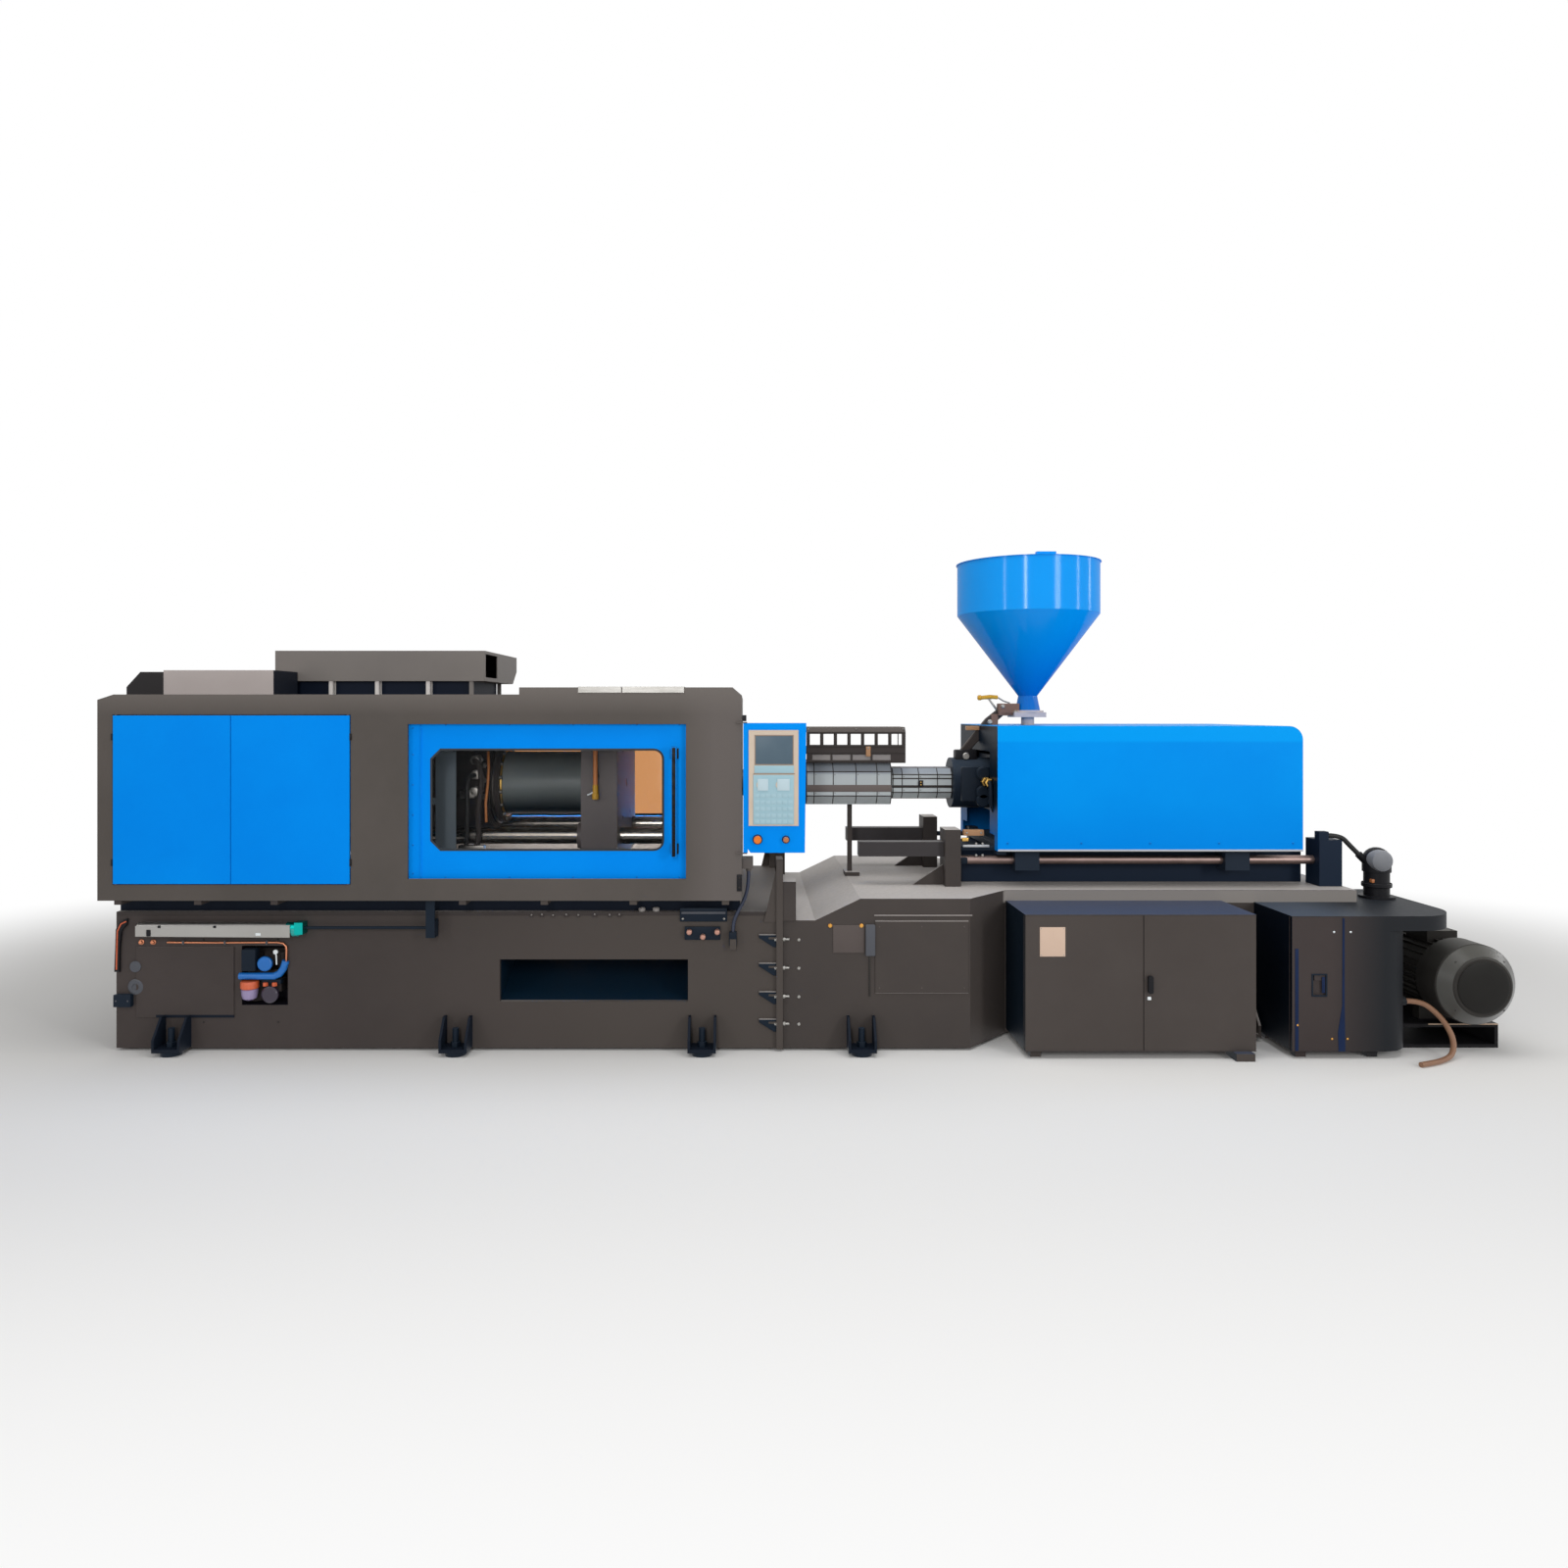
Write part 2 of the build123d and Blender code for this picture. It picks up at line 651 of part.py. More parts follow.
def platen(x, thickness, feet_bottom):
    """Cast platen with bevelled corners and two feet on the base."""
    y, z, bevel = platen_half_y, platen_half_z, 90
    outline = [(-y + bevel, axis_z - z), (y - bevel, axis_z - z), (y, axis_z - z + bevel),
               (y, axis_z + z - bevel), (y - bevel, axis_z + z), (-y + bevel, axis_z + z),
               (-y, axis_z + z - bevel), (-y, axis_z - z + bevel)]
    body = along_x(outline, x, x + thickness)
    feet = block(x + 20, x + thickness - 20, slide_rail_y - 70, slide_rail_y + 40,
                 feet_bottom, axis_z - z + 60)
    return body + both_sides(feet)


def bolt_holes(x0, x1):
    half = mould_bolt_spacing / 2
    places = [(y, axis_z + z) for y in (-half, half) for z in (-half, half)]
    return [rod_along_x(x0, x1, y, z, mould_bolt_radius) for y, z in places]


def make_cylinder_platen():
    right = cylinder_platen_x + cylinder_platen_thickness
    casting = platen(cylinder_platen_x, cylinder_platen_thickness, base_top)
    casting -= rod_along_x(cylinder_platen_x - 1, right + 1, 0, axis_z, cylinder_radius)
    for y, z in tie_bar_places():
        casting -= rod_along_x(cylinder_platen_x - 1, right + 1, y, z, tie_bar_radius)
    return casting


def make_clamp_cylinder():
    right = cylinder_platen_x + cylinder_platen_thickness
    body = rod_along_x(cylinder_left, gland_x, 0, axis_z, cylinder_radius)
    body += rod_along_x(right, right + 60, 0, axis_z, cylinder_radius + 60)
    body += rod_along_x(gland_x, gland_x + gland_length, 0, axis_z, gland_radius)
    body -= rod_along_x(cylinder_left + 60, gland_x, 0, axis_z, cylinder_bore)
    body -= rod_along_x(gland_x - 1, gland_x + gland_length + 1, 0, axis_z, ram_radius + running_gap)
    return body


def make_clamp_ram():
    piston_x = gland_x - 900
    ram = rod_along_x(piston_x, moving_platen_x, 0, axis_z, ram_radius)
    ram += rod_along_x(piston_x, piston_x + 100, 0, axis_z, cylinder_bore - running_gap)
    ram += rod_along_x(moving_platen_x - 30, moving_platen_x, 0, axis_z, ram_radius + 44)
    ram -= rod_along_x(moving_platen_x - 400, moving_platen_x + 1, 0, axis_z, ejector_piston + running_gap)
    return ram


def make_moving_platen():
    right = moving_platen_x + moving_platen_thickness
    casting = platen(moving_platen_x, moving_platen_thickness, base_top + slide_rail_height + running_gap)
    casting -= rod_along_x(moving_platen_x - 1, right + 1, 0, axis_z, ejector_radius + running_gap)
    for y, z in tie_bar_places():
        casting += rod_along_x(moving_platen_x - 40, moving_platen_x, y, z, tie_bar_radius + 28)
        casting -= rod_along_x(moving_platen_x - 41, right + 1, y, z, tie_bar_radius + running_gap)
    return casting - (Part() + bolt_holes(right - mould_bolt_depth, right + 1))


def make_fixed_platen():
    right = fixed_platen_x + fixed_platen_thickness
    casting = platen(fixed_platen_x, fixed_platen_thickness, base_top)
    casting -= rod_along_x(fixed_platen_x - 1, fixed_platen_x + locating_depth, 0, axis_z, locating_radius)
    casting -= rod_along_x(fixed_platen_x, right, 0, axis_z, sprue_radius)
    casting -= rod_along_x(fixed_platen_x + locating_depth + 56, right + 1, 0, axis_z, nose_recess)
    for y, z in tie_bar_places():
        casting -= rod_along_x(fixed_platen_x - 1, right + 1, y, z, tie_bar_radius)
    return casting - (Part() + bolt_holes(fixed_platen_x - 1, fixed_platen_x + mould_bolt_depth))


def tie_bar_nut(x, length, y, z):
    nut = extrude(RegularPolygon(tie_bar_radius + 40, 8), length)
    return Plane((x, y, z), x_dir=(0, 1, 0), z_dir=(1, 0, 0)) * nut


def make_tie_bars():
    right = fixed_platen_x + fixed_platen_thickness
    bars = []
    for y, z in tie_bar_places():
        bar = rod_along_x(cylinder_platen_x - 130, right + 90, y, z, tie_bar_radius)
        bar += tie_bar_nut(cylinder_platen_x - 100, 100, y, z)
        bar += tie_bar_nut(right, 80, y, z)
        bars.append(bar.solid())
    return Compound(children=bars)


def make_ejector_rod():
    right = moving_platen_x + moving_platen_thickness
    rod = rod_along_x(moving_platen_x - 330, right - 2, 0, axis_z, ejector_radius)
    return rod + rod_along_x(moving_platen_x - 350, moving_platen_x - 310, 0, axis_z, ejector_piston)


def make_control_panel():
    x0, x1 = panel_left, panel_right
    outline = [(x0 + 40, panel_bottom), (x1 - 8, panel_bottom), (x1, panel_top), (x0, panel_top),
               (x0, panel_bottom + 60)]
    housing = along_y(outline, -panel_front, -panel_front + panel_depth)
    face = block(-350, -70, -panel_front - 1, -panel_front + 12, 1313, 1850)
    housing -= face
    for x, radius in ((-300, 11), (-141, 8)):
        housing -= rod_along_y(-panel_front - 1, -panel_front + 40, x, 1236, radius + running_gap)
    pin_x, pin_y = panel_left + 8, -panel_front + 10
    housing += block(x0, x0 + 26, -panel_front, -panel_front + 30, panel_bottom, panel_bottom + 70)
    for low, high in ((panel_bottom - 1, panel_bottom + 22), (panel_top - 22, panel_top + 1)):
        housing -= rod_along_z(low, high, pin_x, pin_y, pivot_radius + running_gap)
    return housing


def make_panel_face():
    """Moulded bezel with the screen set back and the key field standing proud."""
    front = -panel_front
    face = block(-350, -70, front - 8, front + 12, 1313, 1850)
    face -= block(-317, -97, front - 9, front - 4, 1653, 1823)
    face += block(-325, -95, front - 11, front - 8, 1320, 1600)
    for x in (-282, -174):
        face += rod_along_y(front - 15, front - 11, x, 1543, 24)
    return face


def push_button(x, z, radius, stem):
    front = -panel_front
    cap = rod_along_y(front - 28, front - 12, x, z, radius)
    cap = chamfer(cap.edges().group_by(Axis.Y)[0], 4)
    return cap + rod_along_y(front - 14, front + 30, x, z, stem)


def make_emergency_stop():
    return push_button(-300, 1236, 22, 11)


def make_start_button():
    return push_button(-141, 1236, 16, 8)


def make_guide_rods():
    rods = [rod_along_x(rod_plate_x + rod_plate_thickness, end_block_x, y, rod_z, guide_rod_radius).solid()
            for y in (-rod_y, rod_y)]
    return Compound(children=rods)


def make_shift_cylinder():
    bodies = []
    for y in (-rod_y, rod_y):
        body = block(shift_left, rod_plate_x, y - shift_half, y + shift_half,
                     shift_z - shift_half, shift_z + shift_half)
        body -= rod_along_x(shift_left + 50, rod_plate_x - 40, y, shift_z, shift_bore)
        body -= rod_along_x(rod_plate_x - 41, rod_plate_x + 1, y, shift_z, shift_rod + running_gap)
        bodies.append(body.solid())
    return Compound(children=bodies)


def make_carriage():
    plate_bottom, plate_top = 1085, 1125
    carriage = block(1190, 2860, -430, 430, plate_bottom, plate_top)
    for x in (1200, 2810):
        arm_top = cover_bottom + 40
        carriage += block(x, x + 50, -cover_half_width + sheet, cover_half_width - sheet,
                          cover_bottom + 2, arm_top)
    for y in (-rod_y, rod_y):
        for x in (1300, 2600):
            bearing = block(x, x + 150, y - 60, y + 60, 970, plate_bottom)
            carriage += bearing - rod_along_x(x - 1, x + 151, y, rod_z, guide_rod_radius + running_gap)
        bracket = block(1190, 1250, y - 40, y + 40, 1064, 1150)
        carriage += bracket + rod_along_x(440, 1190, y, shift_z, shift_rod)
        carriage += rod_along_x(430, 470, y, shift_z, shift_bore - running_gap)
    feed = block(feed_left, feed_right, -330, 330, 1300, 1668) + block(1300, 1690, -220, 220, plate_top, 1310)
    feed += rod_along_x(small_guard[1], feed_left, 0, axis_z, 165) + rod_along_z(1660, 1700, hopper_x, 0, 110)
    feed -= rod_along_x(small_guard[1] - 1, barrel_right, 0, axis_z, barrel_radius)
    feed -= rod_along_x(barrel_right - 1, feed_right + 1, 0, axis_z, barrel_bore)
    feed -= rod_along_z(axis_z, 1701, hopper_x, 0, stem_radius - hopper_wall)
    return carriage + feed


def make_barrel():
    barrel = rod_along_x(barrel_left, barrel_right, 0, axis_z, barrel_radius)
    for x in (-480, -330, -180, -30, 120, 270, 420, 620, 780):
        barrel += rod_along_x(x, x + 110, 0, axis_z, barrel_radius + 4)
    barrel += rod_along_x(barrel_left, barrel_left + 60, 0, axis_z, 130)
    barrel -= rod_along_x(barrel_left - 1, barrel_right + 1, 0, axis_z, barrel_bore)
    return barrel


def make_nozzle():
    profile = [(nozzle_tip, 0), (nozzle_tip, 22), (nozzle_tip + 20, 30), (nozzle_tip + 95, 30),
               (nozzle_tip + 125, 46), (nozzle_tip + 125, 0)]
    half = make_face(Polyline(*profile, close=True))
    body = revolve(half, Axis.X, 360)
    body = Pos(0, 0, axis_z) * body
    return body - rod_along_x(nozzle_tip - 1, nozzle_tip + 126, 0, axis_z, 4)


def make_screw():
    screw = rod_along_x(barrel_left + 90, crosshead_x + crosshead_length - 10, 0, axis_z, screw_radius)
    tip = Pos(barrel_left + 65, 0, axis_z) * Rot(0, -90, 0) * Cone(screw_radius, 8, 50)
    screw += tip
    screw += rod_along_x(crosshead_x + 10, crosshead_x + crosshead_length - 10, 0, axis_z, 55)
    return screw


def octagon_outline(half):
    cut = half * 0.42
    return [(-half + cut, -half), (half - cut, -half), (half, -half + cut), (half, half - cut),
            (half - cut, half), (-half + cut, half), (-half, half - cut), (-half, -half + cut)]


def barrel_cover(left, right, half):
    outer = along_x([(y, axis_z + z) for y, z in octagon_outline(half)], left, right)
    inner_right = right + 1
    return outer - along_x([(y, axis_z + z) for y, z in octagon_outline(half - 6)], left - 1, inner_right)


def make_barrel_guard_front():
    left, right, half = large_guard
    cover = barrel_cover(left, right, half)
    ring = rod_along_x(right - 6, right, 0, axis_z, half - 6)
    return cover + (ring - rod_along_x(right - 7, right + 1, 0, axis_z, barrel_radius + 1))


def make_barrel_guard_rear():
    left, right, half = small_guard
    cover = barrel_cover(left, right, half)
    return cover + block(left, right, -8, 8, axis_z + half - 6, axis_z + half)


def make_barrel_guard_top():
    x0, x1 = top_guard_left, top_guard_right
    outline = [(top_guard_half_width, top_guard_bottom), (top_guard_half_width, top_guard_top - 30),
               (top_guard_half_width - 30, top_guard_top), (-top_guard_half_width + 30, top_guard_top),
               (-top_guard_half_width, top_guard_top - 30), (-top_guard_half_width, top_guard_bottom)]
    box = along_x(folded_outline(outline, sheet), x0, x1)
    box += block(x0, x1, -top_guard_half_width, top_guard_half_width,
                 top_guard_bottom, top_guard_bottom + sheet)
    wide = top_guard_half_width + 1
    for index in range(7):
        x = x0 + 22 + index * 88
        box -= block(x, x + 66, -wide, 0, 1738, 1808)
    for index in range(4):
        x = x0 + 38 + index * 130
        box -= block(x, x + 118, -wide, 0, 1638, 1675)
    for z0, z1 in ((1720, 1812), (1628, 1666)):
        box -= block(x0 + 14, x1 - 6, 0, wide, z0, z1)
    return box


def make_injection_cylinders():
    bodies = []
    for y in (-cylinder_y, cylinder_y):
        body = rod_along_x(feed_right, injection_cylinder_end, y, axis_z, injection_cylinder_radius)
        body -= rod_along_x(feed_right + 40, injection_cylinder_end - 40, y, axis_z, injection_bore)
        body -= rod_along_x(injection_cylinder_end - 41, injection_cylinder_end + 1, y, axis_z,
                            injection_rod + running_gap)
        bodies.append(body.solid())
    return Compound(children=bodies)


def make_crosshead():
    right = crosshead_x + crosshead_length
    head = block(crosshead_x, right, -340, 340, axis_z - 150, axis_z + 150)
    head -= rod_along_x(crosshead_x + 9, right + 1, 0, axis_z, 55 + running_gap)
    head -= rod_along_x(crosshead_x - 1, crosshead_x + 10, 0, axis_z, screw_radius + running_gap)
    for y in (-cylinder_y, cylinder_y):
        head += rod_along_x(feed_right + 60, crosshead_x, y, axis_z, injection_rod)
        head += rod_along_x(feed_right + 50, feed_right + 90, y, axis_z, injection_bore - running_gap)
    return head


def make_screw_motor():
    x0 = crosshead_x + crosshead_length
    motor = rod_along_x(x0, x0 + 40, 0, axis_z, 140) + rod_along_x(x0 + 40, x0 + 190, 0, axis_z, 115)
    motor += block(x0 + 70, x0 + 170, -50, 50, axis_z + 90, axis_z + 150)
    return motor


def cover_outline(inset):
    """Cover seen from the front: the far top corner is round."""
    x0, x1 = cover_left + inset, cover_right - inset
    z0, z1 = cover_bottom, cover_top - inset
    r = cover_corner - inset
    edge = Polyline((x1 - r, z1), (x0, z1), (x0, z0), (x1, z0), (x1, z1 - r))
    corner = Line((x1, z1 - r), (x1 - r, z1)) if r < 1 else JernArc((x1, z1 - r), (0, 1), r, 90)
    return make_face(edge + corner)


def make_injection_cover():
    outer_half, inner_half = cover_half_width, cover_half_width - sheet
    plane = Plane((0, outer_half, 0), x_dir=(1, 0, 0), z_dir=(0, -1, 0))
    cover = extrude(plane * cover_outline(0), 2 * outer_half)
    plane = Plane((0, inner_half, 0), x_dir=(1, 0, 0), z_dir=(0, -1, 0))
    inside = extrude(plane * cover_outline(sheet), 2 * inner_half)
    cover -= inside + block(cover_left + 10, cover_right - 10, -inner_half, inner_half, 1099, 1110)
    cover -= block(cover_left - 1, cover_left + 10, -340, 340, cover_bottom - 1, 1700)
    cover -= block(cover_left - 1, cover_left + 10, -470, 470, cover_bottom - 1, 1190)
    cover -= block(cover_right - 10, cover_right + 1, -inner_half, inner_half, cover_bottom - 1, 1225)
    return cover - rod_along_z(cover_top - 10, cover_top + 1, hopper_x, 0, stem_radius + 18)


def make_hopper():
    """Spun sheet hopper: barrel, cone, short neck and flare, then the stem down to the feed."""
    outer = [(hopper_radius, hopper_top), (hopper_radius, hopper_cylinder_bottom),
             (hopper_neck_radius, hopper_neck_z), (flare_radius, flare_z), (hopper_flange_radius, flare_z),
             (hopper_flange_radius, flare_z - 12), (stem_radius + 6, flare_z - 12)]
    w = hopper_wall
    inner = [(stem_radius + 6, flare_z + 20), (hopper_neck_radius - w, hopper_neck_z + 4),
             (hopper_radius - w, hopper_cylinder_bottom + 2), (hopper_radius - w, hopper_top)]
    half = make_face(Polyline(*(outer + inner), close=True))
    plane = Plane((hopper_x, 0, 0), x_dir=(1, 0, 0), z_dir=(0, -1, 0))
    shell = revolve(plane * half, Axis((hopper_x, 0, 0), (0, 0, 1)), 360)
    stem = rod_along_z(1700, flare_z - 44, hopper_x, 0, stem_radius)
    gate_box = block(hopper_x - 110, hopper_x + 96, -96, 96, flare_z - 44, flare_z - 12)
    slot_top = flare_z - 16
    gate_box -= block(hopper_x - 111, hopper_x + 60, -60, 60, slot_top - slide_thickness - 1, slot_top)
    body = shell + gate_box + stem
    body -= rod_along_z(1699, flare_z + 21, hopper_x, 0, stem_radius - w)
    ear = block(hopper_x - 70, hopper_x - 50, hopper_radius - 6, hopper_radius + 30,
                hopper_top - 30, hopper_top + 20)
    pin = rod_along_x(hopper_x - 70, hopper_x + 70, lid_hinge_y, lid_hinge_z, lid_pin_radius)
    return body + both_ends(ear, hopper_x) + pin


def make_hopper_lid():
    z0 = hopper_top + running_gap
    lid = rod_along_z(z0, z0 + 3, hopper_x, 0, hopper_radius + 8)
    lid += block(hopper_x - 40, hopper_x + 40, hopper_radius - 60, lid_hinge_y + 4, z0 + 3, hopper_top + 18)
    lid += rod_along_x(hopper_x - 45, hopper_x + 45, lid_hinge_y, lid_hinge_z, 14)
    lid += block(hopper_x - 60, hopper_x + 60, -440, -400, z0 + 3, z0 + 22)
    lid -= rod_along_x(hopper_x - 80, hopper_x + 80, lid_hinge_y, lid_hinge_z, lid_pin_radius + running_gap)
    slot = block(hopper_x - 76, hopper_x - 46, lid_hinge_y - 54, lid_hinge_y + 20, z0 - 1, z0 + 40)
    return lid - both_ends(slot, hopper_x)


def make_shutoff_slide():
    z1 = flare_z - 16 - 0.5
    plate = block(hopper_x - 180, hopper_x + 50, -58, 58, z1 - slide_thickness, z1)
    strip = along_y([(hopper_x - 180, z1), (hopper_x - 180, z1 - 8), (hopper_x - 190, z1 - 8),
                     (hopper_x - 262, z1 + 92), (hopper_x - 256, z1 + 96)], -14, 14)
    grip = block(hopper_x - 272, hopper_x - 246, -45, 45, z1 + 90, z1 + 116)
    return plate + strip + grip


def make_electric_cabinet():
    x0, x1 = cabinet_left, cabinet_right
    back = -base_right_half_width
    body = block(x0, x1, -1024, back, cabinet_bottom, cabinet_top)
    body -= block(x0 + sheet, x1 - sheet, -1025, back - sheet, cabinet_bottom + sheet, cabinet_top - sheet)
    for z0 in (cabinet_bottom, cabinet_top - sheet):
        body += block(x0, x1, -cabinet_front, -1020, z0, z0 + sheet)
    pin_y = -cabinet_front + cabinet_door / 2
    for x in (x0 + 2 + pivot_inset, x1 - 2 - pivot_inset):
        body += rod_along_z(cabinet_bottom, cabinet_bottom + 20, x, pin_y, pivot_radius)
        body += rod_along_z(cabinet_top - 20, cabinet_top, x, pin_y, pivot_radius)
    for x in (x0 + 40, x1 - 100):
        for y in (-1010, back - 60):
            body += block(x, x + 60, y, y + 50, 0, cabinet_bottom)
    body += block(x1 - 133, x1 - 28, -cabinet_front - 45, -960, 0, cabinet_bottom)
    mounting = block(x0 + 60, x1 - 60, back - 40, back - 30, 120, 740)
    mounting += block(x0 + 60, x1 - 60, back - 30, back, 400, 440)
    for row, height in enumerate((560, 360, 170)):
        for column in range(7):
            x = x0 + 110 + column * 160
            depth = 150 if (row + column) % 3 else 90
            mounting += block(x, x + 110, back - 40 - depth, back - 40, height, height + 120)
    return body + mounting


def make_cabinet_door_left():
    return door_tray(cabinet_left + 2, cabinet_seam - 2, cabinet_left + 2 + pivot_inset, cabinet_front,
                     cabinet_door, cabinet_bottom + sheet + 1, cabinet_top - sheet - 1)


def make_cabinet_door_right():
    door = door_tray(cabinet_seam + 2, cabinet_right - 2, cabinet_right - 2 - pivot_inset, cabinet_front,
                     cabinet_door, cabinet_bottom + sheet + 1, cabinet_top - sheet - 1)
    return door - rod_along_y(-cabinet_front - 1, -cabinet_front + 4, cabinet_seam + 33, 455, 10 + running_gap)


def make_cabinet_handle():
    x = cabinet_seam + 33
    front = -cabinet_front
    grip = block(x - 14, x + 14, front - 24, front - 8, 373, 472)
    grip = fillet(grip.edges().filter_by(Axis.Y), 10)
    return grip + rod_along_y(front - 10, front + 8, x, 455, 10)


def round_corner_plan(x0, x1, front, back, radius):
    """Plan whose front right corner is round."""
    edge = Polyline((x1 - radius, front), (x0, front), (x0, back), (x1, back), (x1, front + radius))
    return make_face(edge + JernArc((x1 - radius, front), (1, 0), radius, 90))


def upright(face, z0, z1):
    return extrude(Pos(0, 0, z0) * face, z1 - z0)


def make_pump_cabinet():
    x0, x1 = pump_left, pump_right
    front, back = -cabinet_front, -base_right_half_width
    inner_front = front + 26
    body = upright(round_corner_plan(x0, x1, front, back, pump_corner), cabinet_bottom, pump_top)
    inside = round_corner_plan(x0 + sheet, x1 - sheet, inner_front, back - sheet, pump_corner - 26)
    body -= upright(inside, cabinet_bottom + sheet, pump_top - sheet)
    body -= block(x0 - 1, pump_seam, front - 1, inner_front + 1, cabinet_bottom + sheet, pump_top - sheet)
    pin_x = x0 + 2 + pivot_inset
    pin_y = front + cabinet_door / 2
    body += rod_along_z(cabinet_bottom, cabinet_bottom + 20, pin_x, pin_y, pivot_radius)
    body += rod_along_z(pump_top - 20, pump_top, pin_x, pin_y, pivot_radius)
    for x in (x0 + 40, x1 - 260):
        for y in (-1010, back - 60):
            body += block(x, x + 60, y, y + 50, 0, cabinet_bottom)
    hood_plan = round_corner_plan(x1 - 300, hood_right, front, hood_back, hood_corner)
    hood = upright(hood_plan, hood_bottom, pump_top)
    body += hood
    body -= block(0, injection_base_right, back, 0, 0, pump_top + 1)
    body += rod_along_x(x1 - 40, drain_route[0][0], drain_route[0][1], drain_route[0][2], hose_radius + 9)
    manifold = block(x0 + 120, x0 + 420, back - 160, back - sheet, 200, 420)
    for x in (x0 + 170, x0 + 270, x0 + 370):
        manifold += rod_along_z(420, 520, x, back - 90, 34)
    return body + manifold


def make_pump_cabinet_door():
    door = door_tray(pump_left + 2, pump_seam - 2, pump_left + 2 + pivot_inset, cabinet_front,
                     cabinet_door, cabinet_bottom + sheet + 1, pump_top - sheet - 1)
    latch_x = 2862
    door -= block(latch_x - 38, latch_x + 38, -cabinet_front - 1, -cabinet_front + 4, 350, 478)
    recess = block(latch_x - 41, latch_x + 41, -cabinet_front, -cabinet_front + 15, 347, 481)
    recess -= block(latch_x - 38, latch_x + 38, -cabinet_front - 1, -cabinet_front + 12, 350, 478)
    latch = block(latch_x - 30, latch_x + 30, -cabinet_front + 4, -cabinet_front + 12, 440, 470)
    return door + recess + latch


def make_drive_motor():
    """Finned motor, its fan cowl with a slotted end, terminal box and base frame."""
    y0 = -cowl_front + cowl_depth
    body = rod_along_y(y0, -330, motor_x, motor_z, motor_radius - 14)
    for index in range(28):
        angle = index * 360 / 28
        fin = Pos(motor_x, (y0 + 10 - 340) / 2, motor_z) * Rot(0, angle, 0) * Pos(0, 0, motor_radius - 8)
        body += fin * Box(6, -340 - y0 - 10, 24)
    body += rod_along_y(y0, y0 + 30, motor_x, motor_z, motor_radius)
    body += rod_along_y(-360, -330, motor_x, motor_z, motor_radius)
    cowl_profile = [(cowl_radius, y0 + 40), (cowl_radius, -cowl_front + 70), (160, -cowl_front),
                    (0, -cowl_front), (0, -cowl_front + cowl_wall), (158, -cowl_front + cowl_wall),
                    (cowl_radius - cowl_wall, -cowl_front + 72), (cowl_radius - cowl_wall, y0 + 40)]
    cowl_face = make_face(Polyline(*[(motor_x + r, y) for r, y in cowl_profile], close=True))
    cowl = Pos(0, 0, motor_z) * revolve(cowl_face, Axis((motor_x, 0, 0), (0, 1, 0)), 360)
    for radius in (50, 85, 120):
        for index in range(8):
            angle = index * 45 + (22.5 if radius == 85 else 0)
            slot = Pos(motor_x, -cowl_front, motor_z) * Rot(0, angle, 0) * Pos(0, 0, radius)
            cowl -= slot * Box(radius * 0.55, 20, 12)
    for angle in (45, 135, 225, 315):
        lug = Pos(motor_x, y0 + 15, motor_z) * Rot(0, angle, 0) * Pos(0, 0, motor_radius + 13)
        cowl += lug * Box(40, 20, 28)
    body += cowl
    body += block(motor_x - 90, motor_x + 90, -700, -500, motor_z + 170, motor_z + 246)
    for y in (-780, -450):
        body += block(motor_x - 190, motor_x + 190, y, y + 60, 140, 250)
    frame = block(pump_right, half_length - 5, -850, -100, 0, 140)
    frame -= block(pump_right + 20, half_length - 25, -860, -90, 20, 120)
    body -= rod_along_y(y0 - 1, -329, motor_x, motor_z, shaft_radius + running_gap)
    return body + frame


def make_motor_fan():
    fan = rod_along_y(-960, -200, motor_x, motor_z, shaft_radius)
    fan += rod_along_y(-980, -900, motor_x, motor_z, 60)
    for index in range(7):
        angle = index * 360 / 7
        blade = Pos(motor_x, -940, motor_z) * Rot(0, angle, 0) * Pos(0, 0, 120) * Rot(0, 0, 28)
        fan += blade * Box(70, 5, 150)
    return fan


def make_pump():
    bell = rod_along_y(-330, -200, motor_x, motor_z, 130) - rod_along_y(-331, -190, motor_x, motor_z, 60)
    bell += rod_along_y(-200, -170, motor_x, motor_z, 110) - rod_along_y(-201, -190, motor_x, motor_z, 60)
    body = rod_along_y(-170, 90, motor_x, motor_z, 95)
    body += block(motor_x - 60, motor_x + 60, -60, 40, motor_z, motor_z + 140)
    body += rod_along_x(motor_x - 180, motor_x, -10, motor_z, 40)
    return bell + body


def make_return_filter():
    """Filter bowl with a domed cap and a port for the hose."""
    steps = 6
    dome = [(filter_radius * math.cos(math.radians(90 * step / steps)),
             filter_shoulder + filter_radius * math.sin(math.radians(90 * step / steps))) for step in range(steps)]
    profile = [(0, pump_top), (filter_radius + 22, pump_top), (filter_radius + 22, pump_top + 14),
               (filter_radius - 8, pump_top + 14), (filter_radius - 8, filter_shoulder - 70),
               (filter_radius, filter_shoulder - 70)] + dome + [(0, filter_shoulder + filter_radius)]
    face = make_face(Polyline(*[(filter_x + r, z) for r, z in profile], close=True))
    plane = Plane((0, filter_y, 0), x_dir=(1, 0, 0), z_dir=(0, -1, 0))
    body = revolve(plane * face, Axis((filter_x, filter_y, 0), (0, 0, 1)), 360)
    port = Pos(filter_port[0], filter_y, filter_port[1]) * Rot(0, 135, 0) * Pos(0, 0, 40) * Cylinder(22, 80)
    return body + port


